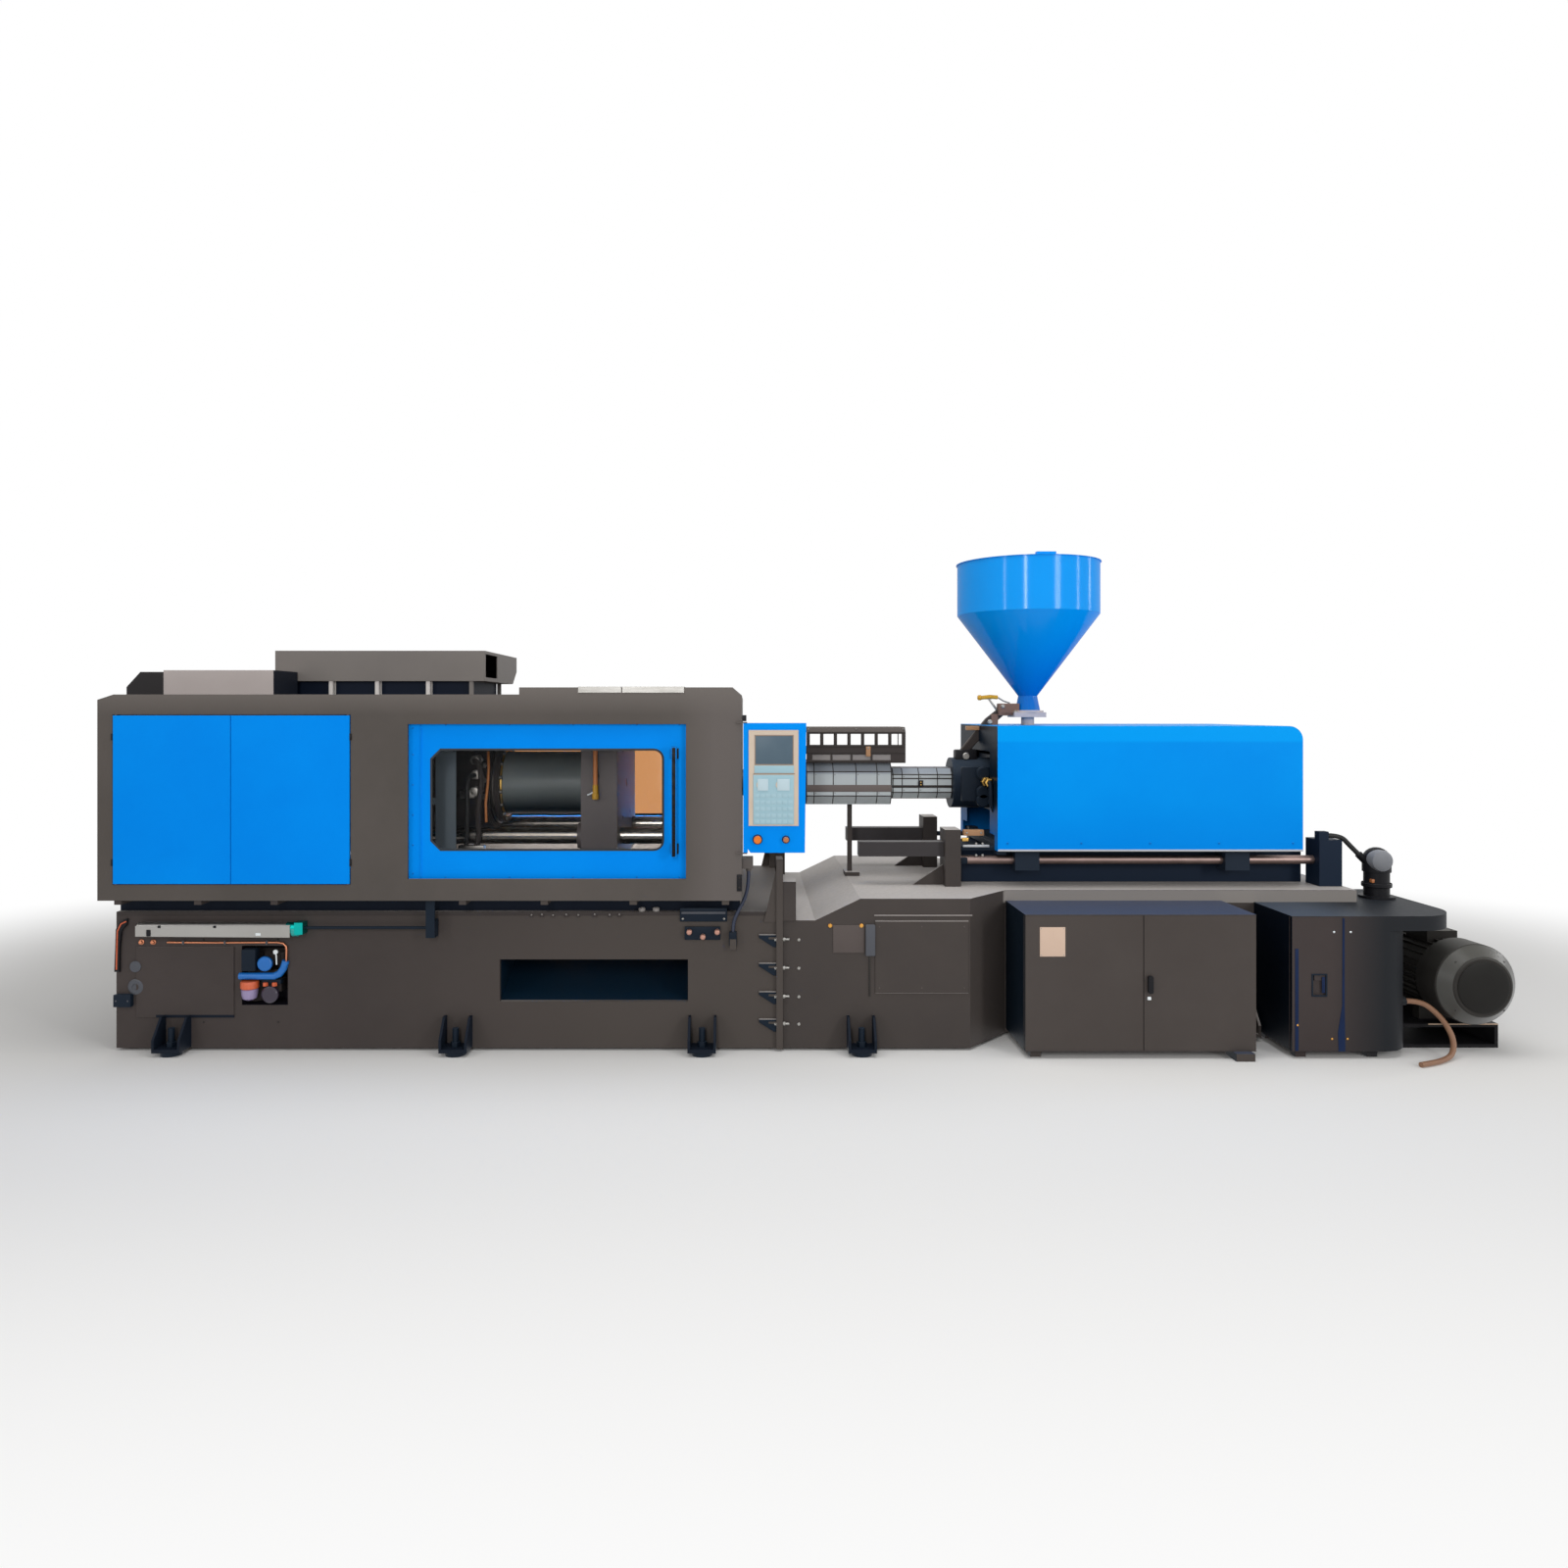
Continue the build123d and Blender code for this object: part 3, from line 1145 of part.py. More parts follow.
def cord_tube(route, radius):
    """Tube along straight runs joined by arcs as large as the runs allow."""
    points = [Vector(*p) for p in route]
    radii = []
    for before, corner, after in zip(points, points[1:], points[2:]):
        turn = math.radians((corner - before).get_angle(after - corner))
        shorter = min((corner - before).length, (after - corner).length)
        radii.append(0.45 * shorter / math.tan(turn / 2))
    print("cord radii", [round(r) for r in radii])
    path = FilletPolyline(*points, radius=radii)
    section = Plane(points[0], z_dir=points[1] - points[0]) * Circle(radius)
    tube = sweep(section, path=path)
    print("cord volume share", round(tube.volume / (math.pi * radius ** 2 * path.length), 4))
    return tube


def make_suction_hose():
    return cord_tube(suction_route, hose_radius)


def make_drain_hose():
    return cord_tube(drain_route, hose_radius)


def make_panel_cable():
    return cord_tube(cable_route, cable_radius)


def make_air_unit():
    back = recess_back
    unit = block(-3255, -3040, back - 12, back, 330, 560)
    unit += block(-3250, -3175, back - 100, back - 12, 372, 440)
    unit += rod_along_z(356, 402, -3218, back - 62, 46) + rod_along_z(272, 356, -3218, back - 62, 42)
    unit += block(-3140, -3060, back - 110, back - 12, 330, 400)
    unit += rod_along_y(back - 40, back - 12, -3122, 503, 40)
    unit += rod_along_x(-3270, -3075, back - 60, 424, 21)
    unit += rod_along_z(424, 548, -3075, back - 60, 21)
    return unit


makers = [
    make_clamp_base, make_injection_base, make_levelling_pads, make_guard_front, make_guard_rear,
    make_guard_top, make_top_lids, make_top_tray, make_top_hood, make_clamp_door_left,
    make_clamp_door_right, make_front_gate, make_front_window, make_rear_gate, make_rear_window,
    make_gate_rails, make_gate_cylinder, make_gate_rod, make_inner_shield, make_cylinder_platen,
    make_clamp_cylinder, make_clamp_ram, make_moving_platen, make_fixed_platen, make_tie_bars,
    make_ejector_rod, make_control_panel, make_panel_face, make_emergency_stop, make_start_button,
    make_guide_rods, make_shift_cylinder, make_carriage, make_barrel, make_nozzle, make_screw,
    make_barrel_guard_front, make_barrel_guard_rear, make_barrel_guard_top, make_injection_cylinders,
    make_crosshead, make_screw_motor, make_injection_cover, make_hopper, make_hopper_lid,
    make_shutoff_slide, make_electric_cabinet, make_cabinet_door_left, make_cabinet_door_right,
    make_cabinet_handle, make_pump_cabinet, make_pump_cabinet_door, make_drive_motor, make_motor_fan,
    make_pump, make_return_filter, make_suction_hose, make_drain_hose, make_panel_cable, make_air_unit
]
os.makedirs("parts", exist_ok=True)
for maker in makers:
    node = maker.__name__[len("make_"):]
    export_step(maker(), f"parts/{node}.step")
    print("wrote", node)
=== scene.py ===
import math

import bmesh
import bpy
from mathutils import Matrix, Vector


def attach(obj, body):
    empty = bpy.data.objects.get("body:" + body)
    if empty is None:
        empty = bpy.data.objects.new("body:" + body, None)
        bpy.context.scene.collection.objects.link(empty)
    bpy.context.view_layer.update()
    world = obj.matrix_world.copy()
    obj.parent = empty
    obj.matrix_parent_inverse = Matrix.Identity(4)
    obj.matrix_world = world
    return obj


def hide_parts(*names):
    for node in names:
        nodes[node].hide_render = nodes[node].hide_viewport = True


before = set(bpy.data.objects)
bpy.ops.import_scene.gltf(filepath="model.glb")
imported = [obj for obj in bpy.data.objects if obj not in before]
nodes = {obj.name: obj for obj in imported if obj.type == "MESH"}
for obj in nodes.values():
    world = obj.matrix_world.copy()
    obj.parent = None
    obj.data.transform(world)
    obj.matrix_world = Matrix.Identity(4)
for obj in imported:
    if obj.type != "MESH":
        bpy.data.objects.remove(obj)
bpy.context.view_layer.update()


# Colours are written as sRGB hex and turned to linear here
def linear(hexColour):
    channels = [int(hexColour[i:i + 2], 16) / 255 for i in (1, 3, 5)]
    return tuple(c / 12.92 if c <= 0.04045 else ((c + 0.055) / 1.055) ** 2.4 for c in channels) + (1.0,)


# Adds one shader node; a setting goes to the input of that name or number, or else to the node's own property
def addNode(tree, kind, settings=None, links=None):
    node = tree.nodes.new("ShaderNode" + kind)
    for key, value in (settings or {}).items():
        if isinstance(key, int) or key in node.inputs:
            node.inputs[key].default_value = value
        else:
            setattr(node, key, value)
    for key, socket in (links or {}).items():
        tree.links.new(socket, node.inputs[key])
    return node


# Camera, where the photographer stood: level, 6 m in front of the machine, near the guard's top
camera = {
    "place": (-0.366, -6.95, 1.96),
    "lensMm": 24.1,
    "sensorMm": 36.0,
    "shiftX": 0.0244,
    "shiftY": -0.0469,
}

cameraData = bpy.data.cameras.new("photoCamera")
cameraData.lens = camera["lensMm"]
cameraData.sensor_width = camera["sensorMm"]
cameraData.shift_x = camera["shiftX"]
cameraData.shift_y = camera["shiftY"]
cameraObject = bpy.data.objects.new("photoCamera", cameraData)
cameraObject.location = camera["place"]
cameraObject.rotation_euler = (math.radians(90), 0, 0)
bpy.context.scene.collection.objects.link(cameraObject)
bpy.context.scene.camera = cameraObject
bpy.context.scene.view_settings.view_transform = "Standard"

# Plain studio: pale floor, white surround, a large panel overhead, tall strip lamps around the front, whose
# mirror images are the upright streaks on the hopper, and a low strip in the mould space
studio = {
    "surround": "#ffffff",
    "ambient": 0.3,
    "floor": "#e9e8e6",
    "floorHalf": 60.0,
    "fadeFrom": 1.2,
    "fadeTo": 4.5,
    "footprintHalf": (4.0, 1.2, 0.0),
    # Name, place, point aimed at, size in metres and watts
    "lamps": [
        ("skyPanel", (-0.5, -1.5, 7.5), (0, 0, 0.6), (9.0, 5.0), 330),
        ("leftStrip", (-6.5, -6.6, 3.4), (1.5, 0, 2.6), (0.45, 3.4), 60),
        ("middleStrip", (-1.6, -9.6, 3.7), (0.0, 0, 1.4), (0.6, 3.2), 200),
        ("widePanel", (6.6, -8.2, 3.4), (0.6, 0, 1.2), (1.4, 3.2), 200),
        ("rightStrip", (9.6, -3.1, 3.4), (1.5, 0, 2.4), (0.6, 3.2), 70),
        ("bedStrip", (-1.5, 0.55, 0.98), (-1.5, 1.0, 1.1), (1.6, 0.1), 25),
        ("farRightStrip", (9.8, 1.0, 3.4), (1.5, 0, 2.4), (0.5, 3.2), 60),
    ],
}


# Adds mirrors and panes to the share in which the camera sees a glow
def withReflections(tree, share, path):
    for ray in ("Is Glossy Ray", "Is Transmission Ray"):
        share = addNode(tree, "Math", {"operation": "ADD", "use_clamp": True},
                        {0: share, 1: path.outputs[ray]}).outputs[0]
    return share


white = linear(studio["surround"])
world = bpy.data.worlds.new("studioSurround")
bpy.context.scene.world = world
world.use_nodes = True
worldTree = world.node_tree
worldTree.nodes.clear()
worldPath = addNode(worldTree, "LightPath")
worldSeen = withReflections(worldTree, worldPath.outputs["Is Camera Ray"], worldPath)
ambientGlow = addNode(worldTree, "Background", {"Color": white, "Strength": studio["ambient"]})
seenGlow = addNode(worldTree, "Background", {"Color": white, "Strength": 1.0})
worldMix = addNode(worldTree, "MixShader", {},
                   {0: worldSeen, 1: ambientGlow.outputs[0], 2: seenGlow.outputs[0]})
addNode(worldTree, "OutputWorld", {}, {"Surface": worldMix.outputs[0]})

for name, place, aim, size, watts in studio["lamps"]:
    lampData = bpy.data.lights.new(name, "AREA")
    lampData.shape = "RECTANGLE"
    lampData.size, lampData.size_y = size
    lampData.energy = watts
    lampObject = bpy.data.objects.new(name, lampData)
    lampObject.location = place
    lampObject.rotation_euler = (Vector(aim) - Vector(place)).to_track_quat("-Z", "Y").to_euler()
    lampObject.visible_camera = False
    lampObject.visible_transmission = False
    bpy.context.scene.collection.objects.link(lampObject)

# Painted floor: it fades into the white surround with the distance past the machine's footprint
floorMaterial = bpy.data.materials.new("paintedStudioFloor")
floorMaterial.use_nodes = True
floorTree = floorMaterial.node_tree
floorTree.nodes.clear()
floorPast = addNode(floorTree, "NewGeometry").outputs["Position"]
for operation, settings in (("ABSOLUTE", {}), ("SUBTRACT", {1: studio["footprintHalf"]}),
                            ("MAXIMUM", {1: (0.0, 0.0, 0.0)})):
    floorPast = addNode(floorTree, "VectorMath", {"operation": operation} | settings,
                        {0: floorPast}).outputs[0]
floorFar = addNode(floorTree, "VectorMath", {"operation": "LENGTH"}, {0: floorPast})
fading = {"interpolation_type": "SMOOTHSTEP", "From Min": studio["fadeFrom"], "From Max": studio["fadeTo"]}
floorFade = addNode(floorTree, "MapRange", fading, {"Value": floorFar.outputs["Value"]})
floorPath = addNode(floorTree, "LightPath")
floorSeen = addNode(floorTree, "Math", {"operation": "MULTIPLY"},
                    {0: floorFade.outputs[0], 1: floorPath.outputs["Is Camera Ray"]})
floorSeen = withReflections(floorTree, floorSeen.outputs[0], floorPath)
floorPaint = addNode(floorTree, "BsdfDiffuse", {"Color": linear(studio["floor"])})
floorWhite = addNode(floorTree, "Emission", {"Color": white, "Strength": 1.0})
floorMix = addNode(floorTree, "MixShader", {},
                   {0: floorSeen, 1: floorPaint.outputs[0], 2: floorWhite.outputs[0]})
addNode(floorTree, "OutputMaterial", {}, {"Surface": floorMix.outputs[0]})
half = studio["floorHalf"]
floorCorners = [(-half, -half, 0), (half, -half, 0), (half, half, 0), (-half, half, 0)]
floorMesh = bpy.data.meshes.new("studioFloor")
floorMesh.from_pydata(floorCorners, [], [(0, 1, 2, 3)])
floorMesh.materials.append(floorMaterial)
floorObject = bpy.data.objects.new("studioFloor", floorMesh)
bpy.context.scene.collection.objects.link(floorObject)
print("camera, lamps and floor placed")


# Starts a material: its shader, the object coordinates and the normal of a small edge rounding. Patterns run
# in object coordinates, which are metres here, so a scale is 1000 / size in mm
def startMaterial(name, edgeRadiusMm=3.0):
    material = bpy.data.materials.new(name)
    material.use_nodes = True
    tree = material.node_tree
    tree.nodes.clear()
    shader = addNode(tree, "BsdfPrincipled")
    addNode(tree, "OutputMaterial", {}, {"Surface": shader.outputs[0]})
    place = addNode(tree, "TexCoord").outputs["Object"]
    rounding = addNode(tree, "Bevel", {"samples": 4, "Radius": edgeRadiusMm / 1000}).outputs[0]
    return material, tree, shader, place, rounding


# How far the rounded normal leaves the true one, 0 on a flat and 1 on a sharp edge, in patches of worn paint
def edgeMask(tree, rounding, place, patchMm):
    trueNormal = addNode(tree, "NewGeometry").outputs["Normal"]
    dot = addNode(tree, "VectorMath", {"operation": "DOT_PRODUCT"}, {0: rounding, 1: trueNormal})
    edge = addNode(tree, "MapRange", {"From Min": 0.99, "From Max": 0.86}, {"Value": dot.outputs["Value"]})
    patches = addNode(tree, "TexNoise", {"Scale": 1000 / patchMm, "Detail": 4.0}, {"Vector": place})
    patches = addNode(tree, "MapRange", {"From Min": 0.5, "From Max": 0.68}, {"Value": patches.outputs[0]})
    worn = addNode(tree, "Math", {"operation": "MULTIPLY"}, {0: edge.outputs[0], 1: patches.outputs[0]})
    return worn.outputs[0]


# Two-pack polyurethane enamel, sprayed on welded sheet and plate: satin, faint orange peel, clouds of
# slightly different tone, dust and painted top light on what faces up, and a lighter line on worn edges
def sprayedEnamel(name, colour, cloud, dustAndTopLight, worn, roughness, peelMm=14, dustAndTopLightShare=0.75, coat=0.0,
                  specular=0.1, wornShare=0.5):
    material, tree, shader, place, rounding = startMaterial(name)
    clouds = addNode(tree, "TexNoise", {"Scale": 1000 / 900, "Detail": 5.0, "Roughness": 0.6},
                     {"Vector": place})
    cloudShare = addNode(tree, "MapRange", {"From Min": 0.35, "From Max": 0.7}, {"Value": clouds.outputs[0]})
    tone = addNode(tree, "Mix", {"data_type": "RGBA", 6: linear(colour), 7: linear(cloud)},
                   {0: cloudShare.outputs[0]})
    # Fine speckle of settled dust and overspray, 25 mm and below
    speckle = addNode(tree, "TexNoise", {"Scale": 1000 / 25, "Detail": 6.0, "Roughness": 0.75},
                      {"Vector": place})
    normal = addNode(tree, "SeparateXYZ", {},
                     {0: addNode(tree, "NewGeometry").outputs["Normal"]})
    # What faces up takes a paler colour: settled dust, and painted light falling on tops
    faceUp = addNode(tree, "MapRange", {"From Min": 0.3, "From Max": 0.95, "To Max": dustAndTopLightShare},
                     {"Value": normal.outputs["Z"]})
    speckleBreak = addNode(tree, "MapRange", {"From Min": 0.2, "From Max": 0.62, "To Min": 0.72},
                        {"Value": speckle.outputs[0]})
    dustAndTopLightFactor = addNode(tree, "Math", {"operation": "MULTIPLY"},
                         {0: faceUp.outputs[0], 1: speckleBreak.outputs[0]})
    dustedAndTopLit = addNode(tree, "Mix", {"data_type": "RGBA", 7: linear(dustAndTopLight)},
                    {0: dustAndTopLightFactor.outputs[0], 6: tone.outputs[2]})
    wornFactor = addNode(tree, "Math", {"operation": "MULTIPLY", 1: wornShare},
                         {0: edgeMask(tree, rounding, place, 60)})
    final = addNode(tree, "Mix", {"data_type": "RGBA", 7: linear(worn)},
                    {0: wornFactor.outputs[0], 6: dustedAndTopLit.outputs[2]})
    tree.links.new(final.outputs[2], shader.inputs["Base Color"])
    gloss = addNode(tree, "MapRange", {"To Min": roughness - 0.05, "To Max": roughness + 0.09},
                    {"Value": speckle.outputs[0]})
    tree.links.new(gloss.outputs[0], shader.inputs["Roughness"])
    peel = addNode(tree, "TexNoise", {"Scale": 1000 / peelMm, "Detail": 3.0}, {"Vector": place})
    bump = addNode(tree, "Bump", {"Strength": 0.12, "Distance": 0.0006},
                   {"Height": peel.outputs[0], "Normal": rounding})
    tree.links.new(bump.outputs[0], shader.inputs["Normal"])
    shader.inputs["Specular IOR Level"].default_value = specular
    shader.inputs["Coat Weight"].default_value = coat
    shader.inputs["Coat Roughness"].default_value = 0.12
    return material


# Lays one more colour over a material's base colour, where the socket's value is 1
def repaint(material, where, colour):
    shader = next(node for node in material.node_tree.nodes if node.type == "BSDF_PRINCIPLED")
    painted = addNode(material.node_tree, "Mix", {"data_type": "RGBA", 7: linear(colour)},
                      {0: where, 6: shader.inputs["Base Color"].links[0].from_socket})
    material.node_tree.links.new(painted.outputs[2], shader.inputs["Base Color"])


# Repaints the part of a material where an object coordinate is past a limit, across a soft band
def paintBeyond(material, axis, limitMm, bandMm, colour, above=True, share=1.0):
    tree = material.node_tree
    place = addNode(tree, "TexCoord").outputs["Object"]
    along = addNode(tree, "SeparateXYZ", {}, {0: place}).outputs[axis]
    low, high = (limitMm - bandMm / 2) / 1000, (limitMm + bandMm / 2) / 1000
    before, after = (0.0, share) if above else (share, 0.0)
    beyond = addNode(tree, "MapRange", {"From Min": low, "From Max": high, "To Min": before, "To Max": after},
                     {"Value": along})
    repaint(material, beyond.outputs[0], colour)


# Repaints what lies inside a box of the machine, given in mm, such as the inside of a recess
def paintInside(material, x, y, z, colour):
    tree = material.node_tree
    centre = tuple((low + high) / 2000 for low, high in (x, y, z))
    half = tuple((high - low) / 2000 for low, high in (x, y, z))
    past = addNode(tree, "TexCoord").outputs["Object"]
    for operation, settings in (("SUBTRACT", {1: centre}), ("ABSOLUTE", {}), ("SUBTRACT", {1: half}),
                                ("MAXIMUM", {1: (0.0, 0.0, 0.0)})):
        past = addNode(tree, "VectorMath", {"operation": operation} | settings, {0: past}).outputs[0]
    past = addNode(tree, "VectorMath", {"operation": "LENGTH"}, {0: past}).outputs["Value"]
    inside = addNode(tree, "MapRange", {"From Max": 0.002, "To Min": 1.0, "To Max": 0.0}, {"Value": past})
    repaint(material, inside.outputs[0], colour)


# Paints shade on the faces that look one way, such as the unlit end of a cabinet
def paintShadeFacing(material, direction, colour):
    tree = material.node_tree
    normal = addNode(tree, "NewGeometry").outputs["Normal"]
    dot = addNode(tree, "VectorMath", {"operation": "DOT_PRODUCT", 1: direction}, {0: normal})
    facing = addNode(tree, "MapRange", {"From Min": 0.8, "From Max": 0.95}, {"Value": dot.outputs["Value"]})
    repaint(material, facing.outputs[0], colour)


# On both bases the pale colour of what faces up is dust and painted light on the deck
baseEnamel = sprayedEnamel("baseGreyEnamel", "#423c3a", "#4a4341", "#a8a29d", "#6a625e", 0.5, dustAndTopLightShare=0.9)
injectionEnamel = sprayedEnamel("injectionBaseEnamel", "#423d3b", "#494340", "#c9c3be", "#6a625e", 0.5,
                                dustAndTopLightShare=0.9)
guardEnamel = sprayedEnamel("guardGreyEnamel", "#514c48", "#5a5450", "#857e79", "#777069", 0.46)
cabinetEnamel = sprayedEnamel("cabinetGreyEnamel", "#46403d", "#4c4643", "#465167", "#68605c", 0.48)
pumpCabinetEnamel = sprayedEnamel("pumpCabinetDarkEnamel", "#3c3534", "#423b3a", "#43505d", "#5c5a60", 0.5)
trayEnamel = sprayedEnamel("trayPaleEnamel", "#b0a7a4", "#bab1ae", "#b4aba7", "#bdb4af", 0.5)
hoodEnamel = sprayedEnamel("hoodGreyEnamel", "#75706d", "#7e7975", "#847c77", "#8d857f", 0.48)
doorBlue = sprayedEnamel("doorBlueEnamel", "#0287ec", "#038ff2", "#2d95e6", "#3aa2f0", 0.4, peelMm=20,
                         dustAndTopLightShare=0.35, specular=0.02, wornShare=0.35)
coverBlue = sprayedEnamel("coverBlueEnamel", "#028dea", "#0495ef", "#35a0ee", "#4fb0f5", 0.34, peelMm=24,
                          dustAndTopLightShare=0.3, specular=0.02, wornShare=0.4)
hopperBlue = sprayedEnamel("hopperBlueGloss", "#0294ee", "#039af2", "#2d93e0", "#4aa8f0", 0.16, peelMm=40,
                           dustAndTopLightShare=0.1, coat=0.32, specular=0.0, wornShare=0.3)
motorEnamel = sprayedEnamel("motorCastEnamel", "#292725", "#343230", "#54534f", "#5a5854", 0.5, peelMm=9)
machinePaint = sprayedEnamel("machineryDarkEnamel", "#3a3534", "#443e3c", "#6a635e", "#625a55", 0.52,
                             peelMm=9)
paintBeyond(trayEnamel, "X", -3777, 2, "#2e2c2d", above=False)
# Painted shade: the pump cabinet darkens towards its rounded right end
paintBeyond(pumpCabinetEnamel, "X", 3080, 300, "#1d2024", share=0.95)
paintBeyond(guardEnamel, "X", -640, 200, "#635d5a", share=0.9)
paintBeyond(guardEnamel, "Z", 2010, 150, "#6b6561")
# Painted shade: the cabinets' ends that look left, near-black navy
paintShadeFacing(pumpCabinetEnamel, (-1, 0, 0), "#040a13")
paintShadeFacing(cabinetEnamel, (-1, 0, 0), "#0b1620")
paintBeyond(baseEnamel, "X", -1900, 1500, "#4f4945", share=0.8)
# Painted shade: dark navy along the base's top, under the guard's overhang
paintInside(baseEnamel, (-3995, -399), (-861, -818), (801, 891), "#0d1624")
paintInside(baseEnamel, (-3760, -460), (-1040, -902), (20, 207), "#141b26")
paintInside(injectionEnamel, (200, 400), (-1040, -902), (20, 207), "#141b26")
# Painted shade: the tray's right end, dark as the shadow under the hood
paintShadeFacing(trayEnamel, (1, 0, 0), "#171b24")
# Painted shade: the slot under the hood, dark navy; the posts in it keep their own pale colour
paintInside(hoodEnamel, (-3262, -2078), (-402, 272), (2051, 2141), "#0b1526")
for postX in (-2938, -2652, -2336):
    paintInside(hoodEnamel, (postX - 14, postX + 14), (-452, -398), (2051, 2141), "#d3ceca")
# Painted shade: dark navy inside the part chute
paintInside(baseEnamel, (-1790, -692), (-866, 365), (271, 772), "#0c2232")
# Painted shade: dark inside the service recess
paintInside(baseEnamel, (-3271, -3004), (-898, -745), (261, 605), "#1d1b22")
# Painted shade: dark navy on the injection base under the carriage
paintInside(injectionEnamel, (1001, 3380), (-560, 560), (878, 1300), "#172334")
# Painted light: the deck's front lip, made paler because little light reaches it
paintInside(injectionEnamel, (1160, 3380), (-625, -598), (800, 872), "#8b8682")
# Painted shade: the hopper darkens downwards over its cone
paintBeyond(hopperBlue, "Z", 2330, 560, "#026ec6", above=False, share=0.9)
paintBeyond(hopperBlue, "Z", 1962, 2, "#c9bfbe", above=False)
paintBeyond(motorEnamel, "Z", 150, 4, "#141315", above=False)
# Painted light: a paler band above the cover's fold, where its rounded top edge takes the light
paintBeyond(coverBlue, "Z", 1769, 14, "#049ff4", share=0.8)
# Painted shade: dark navy inside the cover
paintInside(coverBlue, (1160, 3028.4), (-546.4, 546.4), (1090, 1861.4), "#101c28")
paintBeyond(coverBlue, "Z", 1250, 260, "#038aec", above=False, share=0.7)
print("enamels made")


# Sand-cast iron: filled and sprayed where it is raw, ground bright on the faces across the machine
def castIron(name, paint, cloud, ground):
    material, tree, shader, place, rounding = startMaterial(name)
    grain = addNode(tree, "TexNoise", {"Scale": 1000 / 18, "Detail": 6.0, "Roughness": 0.7},
                    {"Vector": place})
    clouds = addNode(tree, "TexNoise", {"Scale": 1000 / 420, "Detail": 4.0}, {"Vector": place})
    tone = addNode(tree, "Mix", {"data_type": "RGBA", 6: linear(paint), 7: linear(cloud)},
                   {0: clouds.outputs[0]})
    normal = addNode(tree, "SeparateXYZ", {},
                     {0: addNode(tree, "NewGeometry").outputs["Normal"]})
    size = addNode(tree, "Math", {"operation": "ABSOLUTE"}, {0: normal.outputs["X"]})
    machined = addNode(tree, "MapRange", {"From Min": 0.9, "From Max": 0.98}, {"Value": size.outputs[0]})
    final = addNode(tree, "Mix", {"data_type": "RGBA", 7: linear(ground)},
                    {0: machined.outputs[0], 6: tone.outputs[2]})
    tree.links.new(final.outputs[2], shader.inputs["Base Color"])
    tree.links.new(machined.outputs[0], shader.inputs["Metallic"])
    gloss = addNode(tree, "MapRange", {"To Min": 0.42, "To Max": 0.62}, {"Value": grain.outputs[0]})
    tree.links.new(gloss.outputs[0], shader.inputs["Roughness"])
    bump = addNode(tree, "Bump", {"Strength": 0.3, "Distance": 0.0012},
                   {"Height": grain.outputs[0], "Normal": rounding})
    tree.links.new(bump.outputs[0], shader.inputs["Normal"])
    return material


# Turned, ground or drawn metal: a fine lay of tool marks along one way, with oil and heat clouding it
def workedMetal(name, colour, cloud, roughness, layMm, layAlong="X"):
    material, tree, shader, place, rounding = startMaterial(name, 2.0)
    stretch = {"X": (0.06, 1.0, 1.0), "Y": (1.0, 0.06, 1.0), "Z": (1.0, 1.0, 0.06)}[layAlong]
    drawn = addNode(tree, "VectorMath", {"operation": "MULTIPLY", 1: stretch}, {0: place})
    lay = addNode(tree, "TexNoise", {"Scale": 1000 / layMm, "Detail": 3.0, "Roughness": 0.6},
                  {"Vector": drawn.outputs[0]})
    stains = addNode(tree, "TexNoise", {"Scale": 1000 / 160, "Detail": 5.0, "Roughness": 0.62},
                     {"Vector": place})
    share = addNode(tree, "MapRange", {"From Min": 0.38, "From Max": 0.7, "To Max": 0.5},
                    {"Value": stains.outputs[0]})
    tone = addNode(tree, "Mix", {"data_type": "RGBA", 6: linear(colour), 7: linear(cloud)},
                   {0: share.outputs[0]})
    tree.links.new(tone.outputs[2], shader.inputs["Base Color"])
    gloss = addNode(tree, "MapRange", {"To Min": roughness - 0.06, "To Max": roughness + 0.12},
                    {"Value": lay.outputs[0]})
    tree.links.new(gloss.outputs[0], shader.inputs["Roughness"])
    bump = addNode(tree, "Bump", {"Strength": 0.15, "Distance": 0.0004},
                   {"Height": lay.outputs[0], "Normal": rounding})
    tree.links.new(bump.outputs[0], shader.inputs["Normal"])
    shader.inputs["Metallic"].default_value = 1.0
    return material


# Moulded plastic or rubber: a fine etched grain, soft sheen, no metal
def mouldedPlastic(name, colour, cloud, roughness, grainMm, specular=0.5, bumpStrength=0.2):
    material, tree, shader, place, rounding = startMaterial(name, 1.5)
    grain = addNode(tree, "TexNoise", {"Scale": 1000 / grainMm, "Detail": 4.0, "Roughness": 0.7},
                    {"Vector": place})
    handling = addNode(tree, "TexNoise", {"Scale": 1000 / 90, "Detail": 3.0}, {"Vector": place})
    tone = addNode(tree, "Mix", {"data_type": "RGBA", 6: linear(colour), 7: linear(cloud)},
                   {0: handling.outputs[0]})
    tree.links.new(tone.outputs[2], shader.inputs["Base Color"])
    gloss = addNode(tree, "MapRange", {"To Min": roughness - 0.04, "To Max": roughness + 0.1},
                    {"Value": handling.outputs[0]})
    tree.links.new(gloss.outputs[0], shader.inputs["Roughness"])
    bump = addNode(tree, "Bump", {"Strength": bumpStrength, "Distance": 0.0004},
                   {"Height": grain.outputs[0], "Normal": rounding})
    tree.links.new(bump.outputs[0], shader.inputs["Normal"])
    shader.inputs["Specular IOR Level"].default_value = specular
    return material


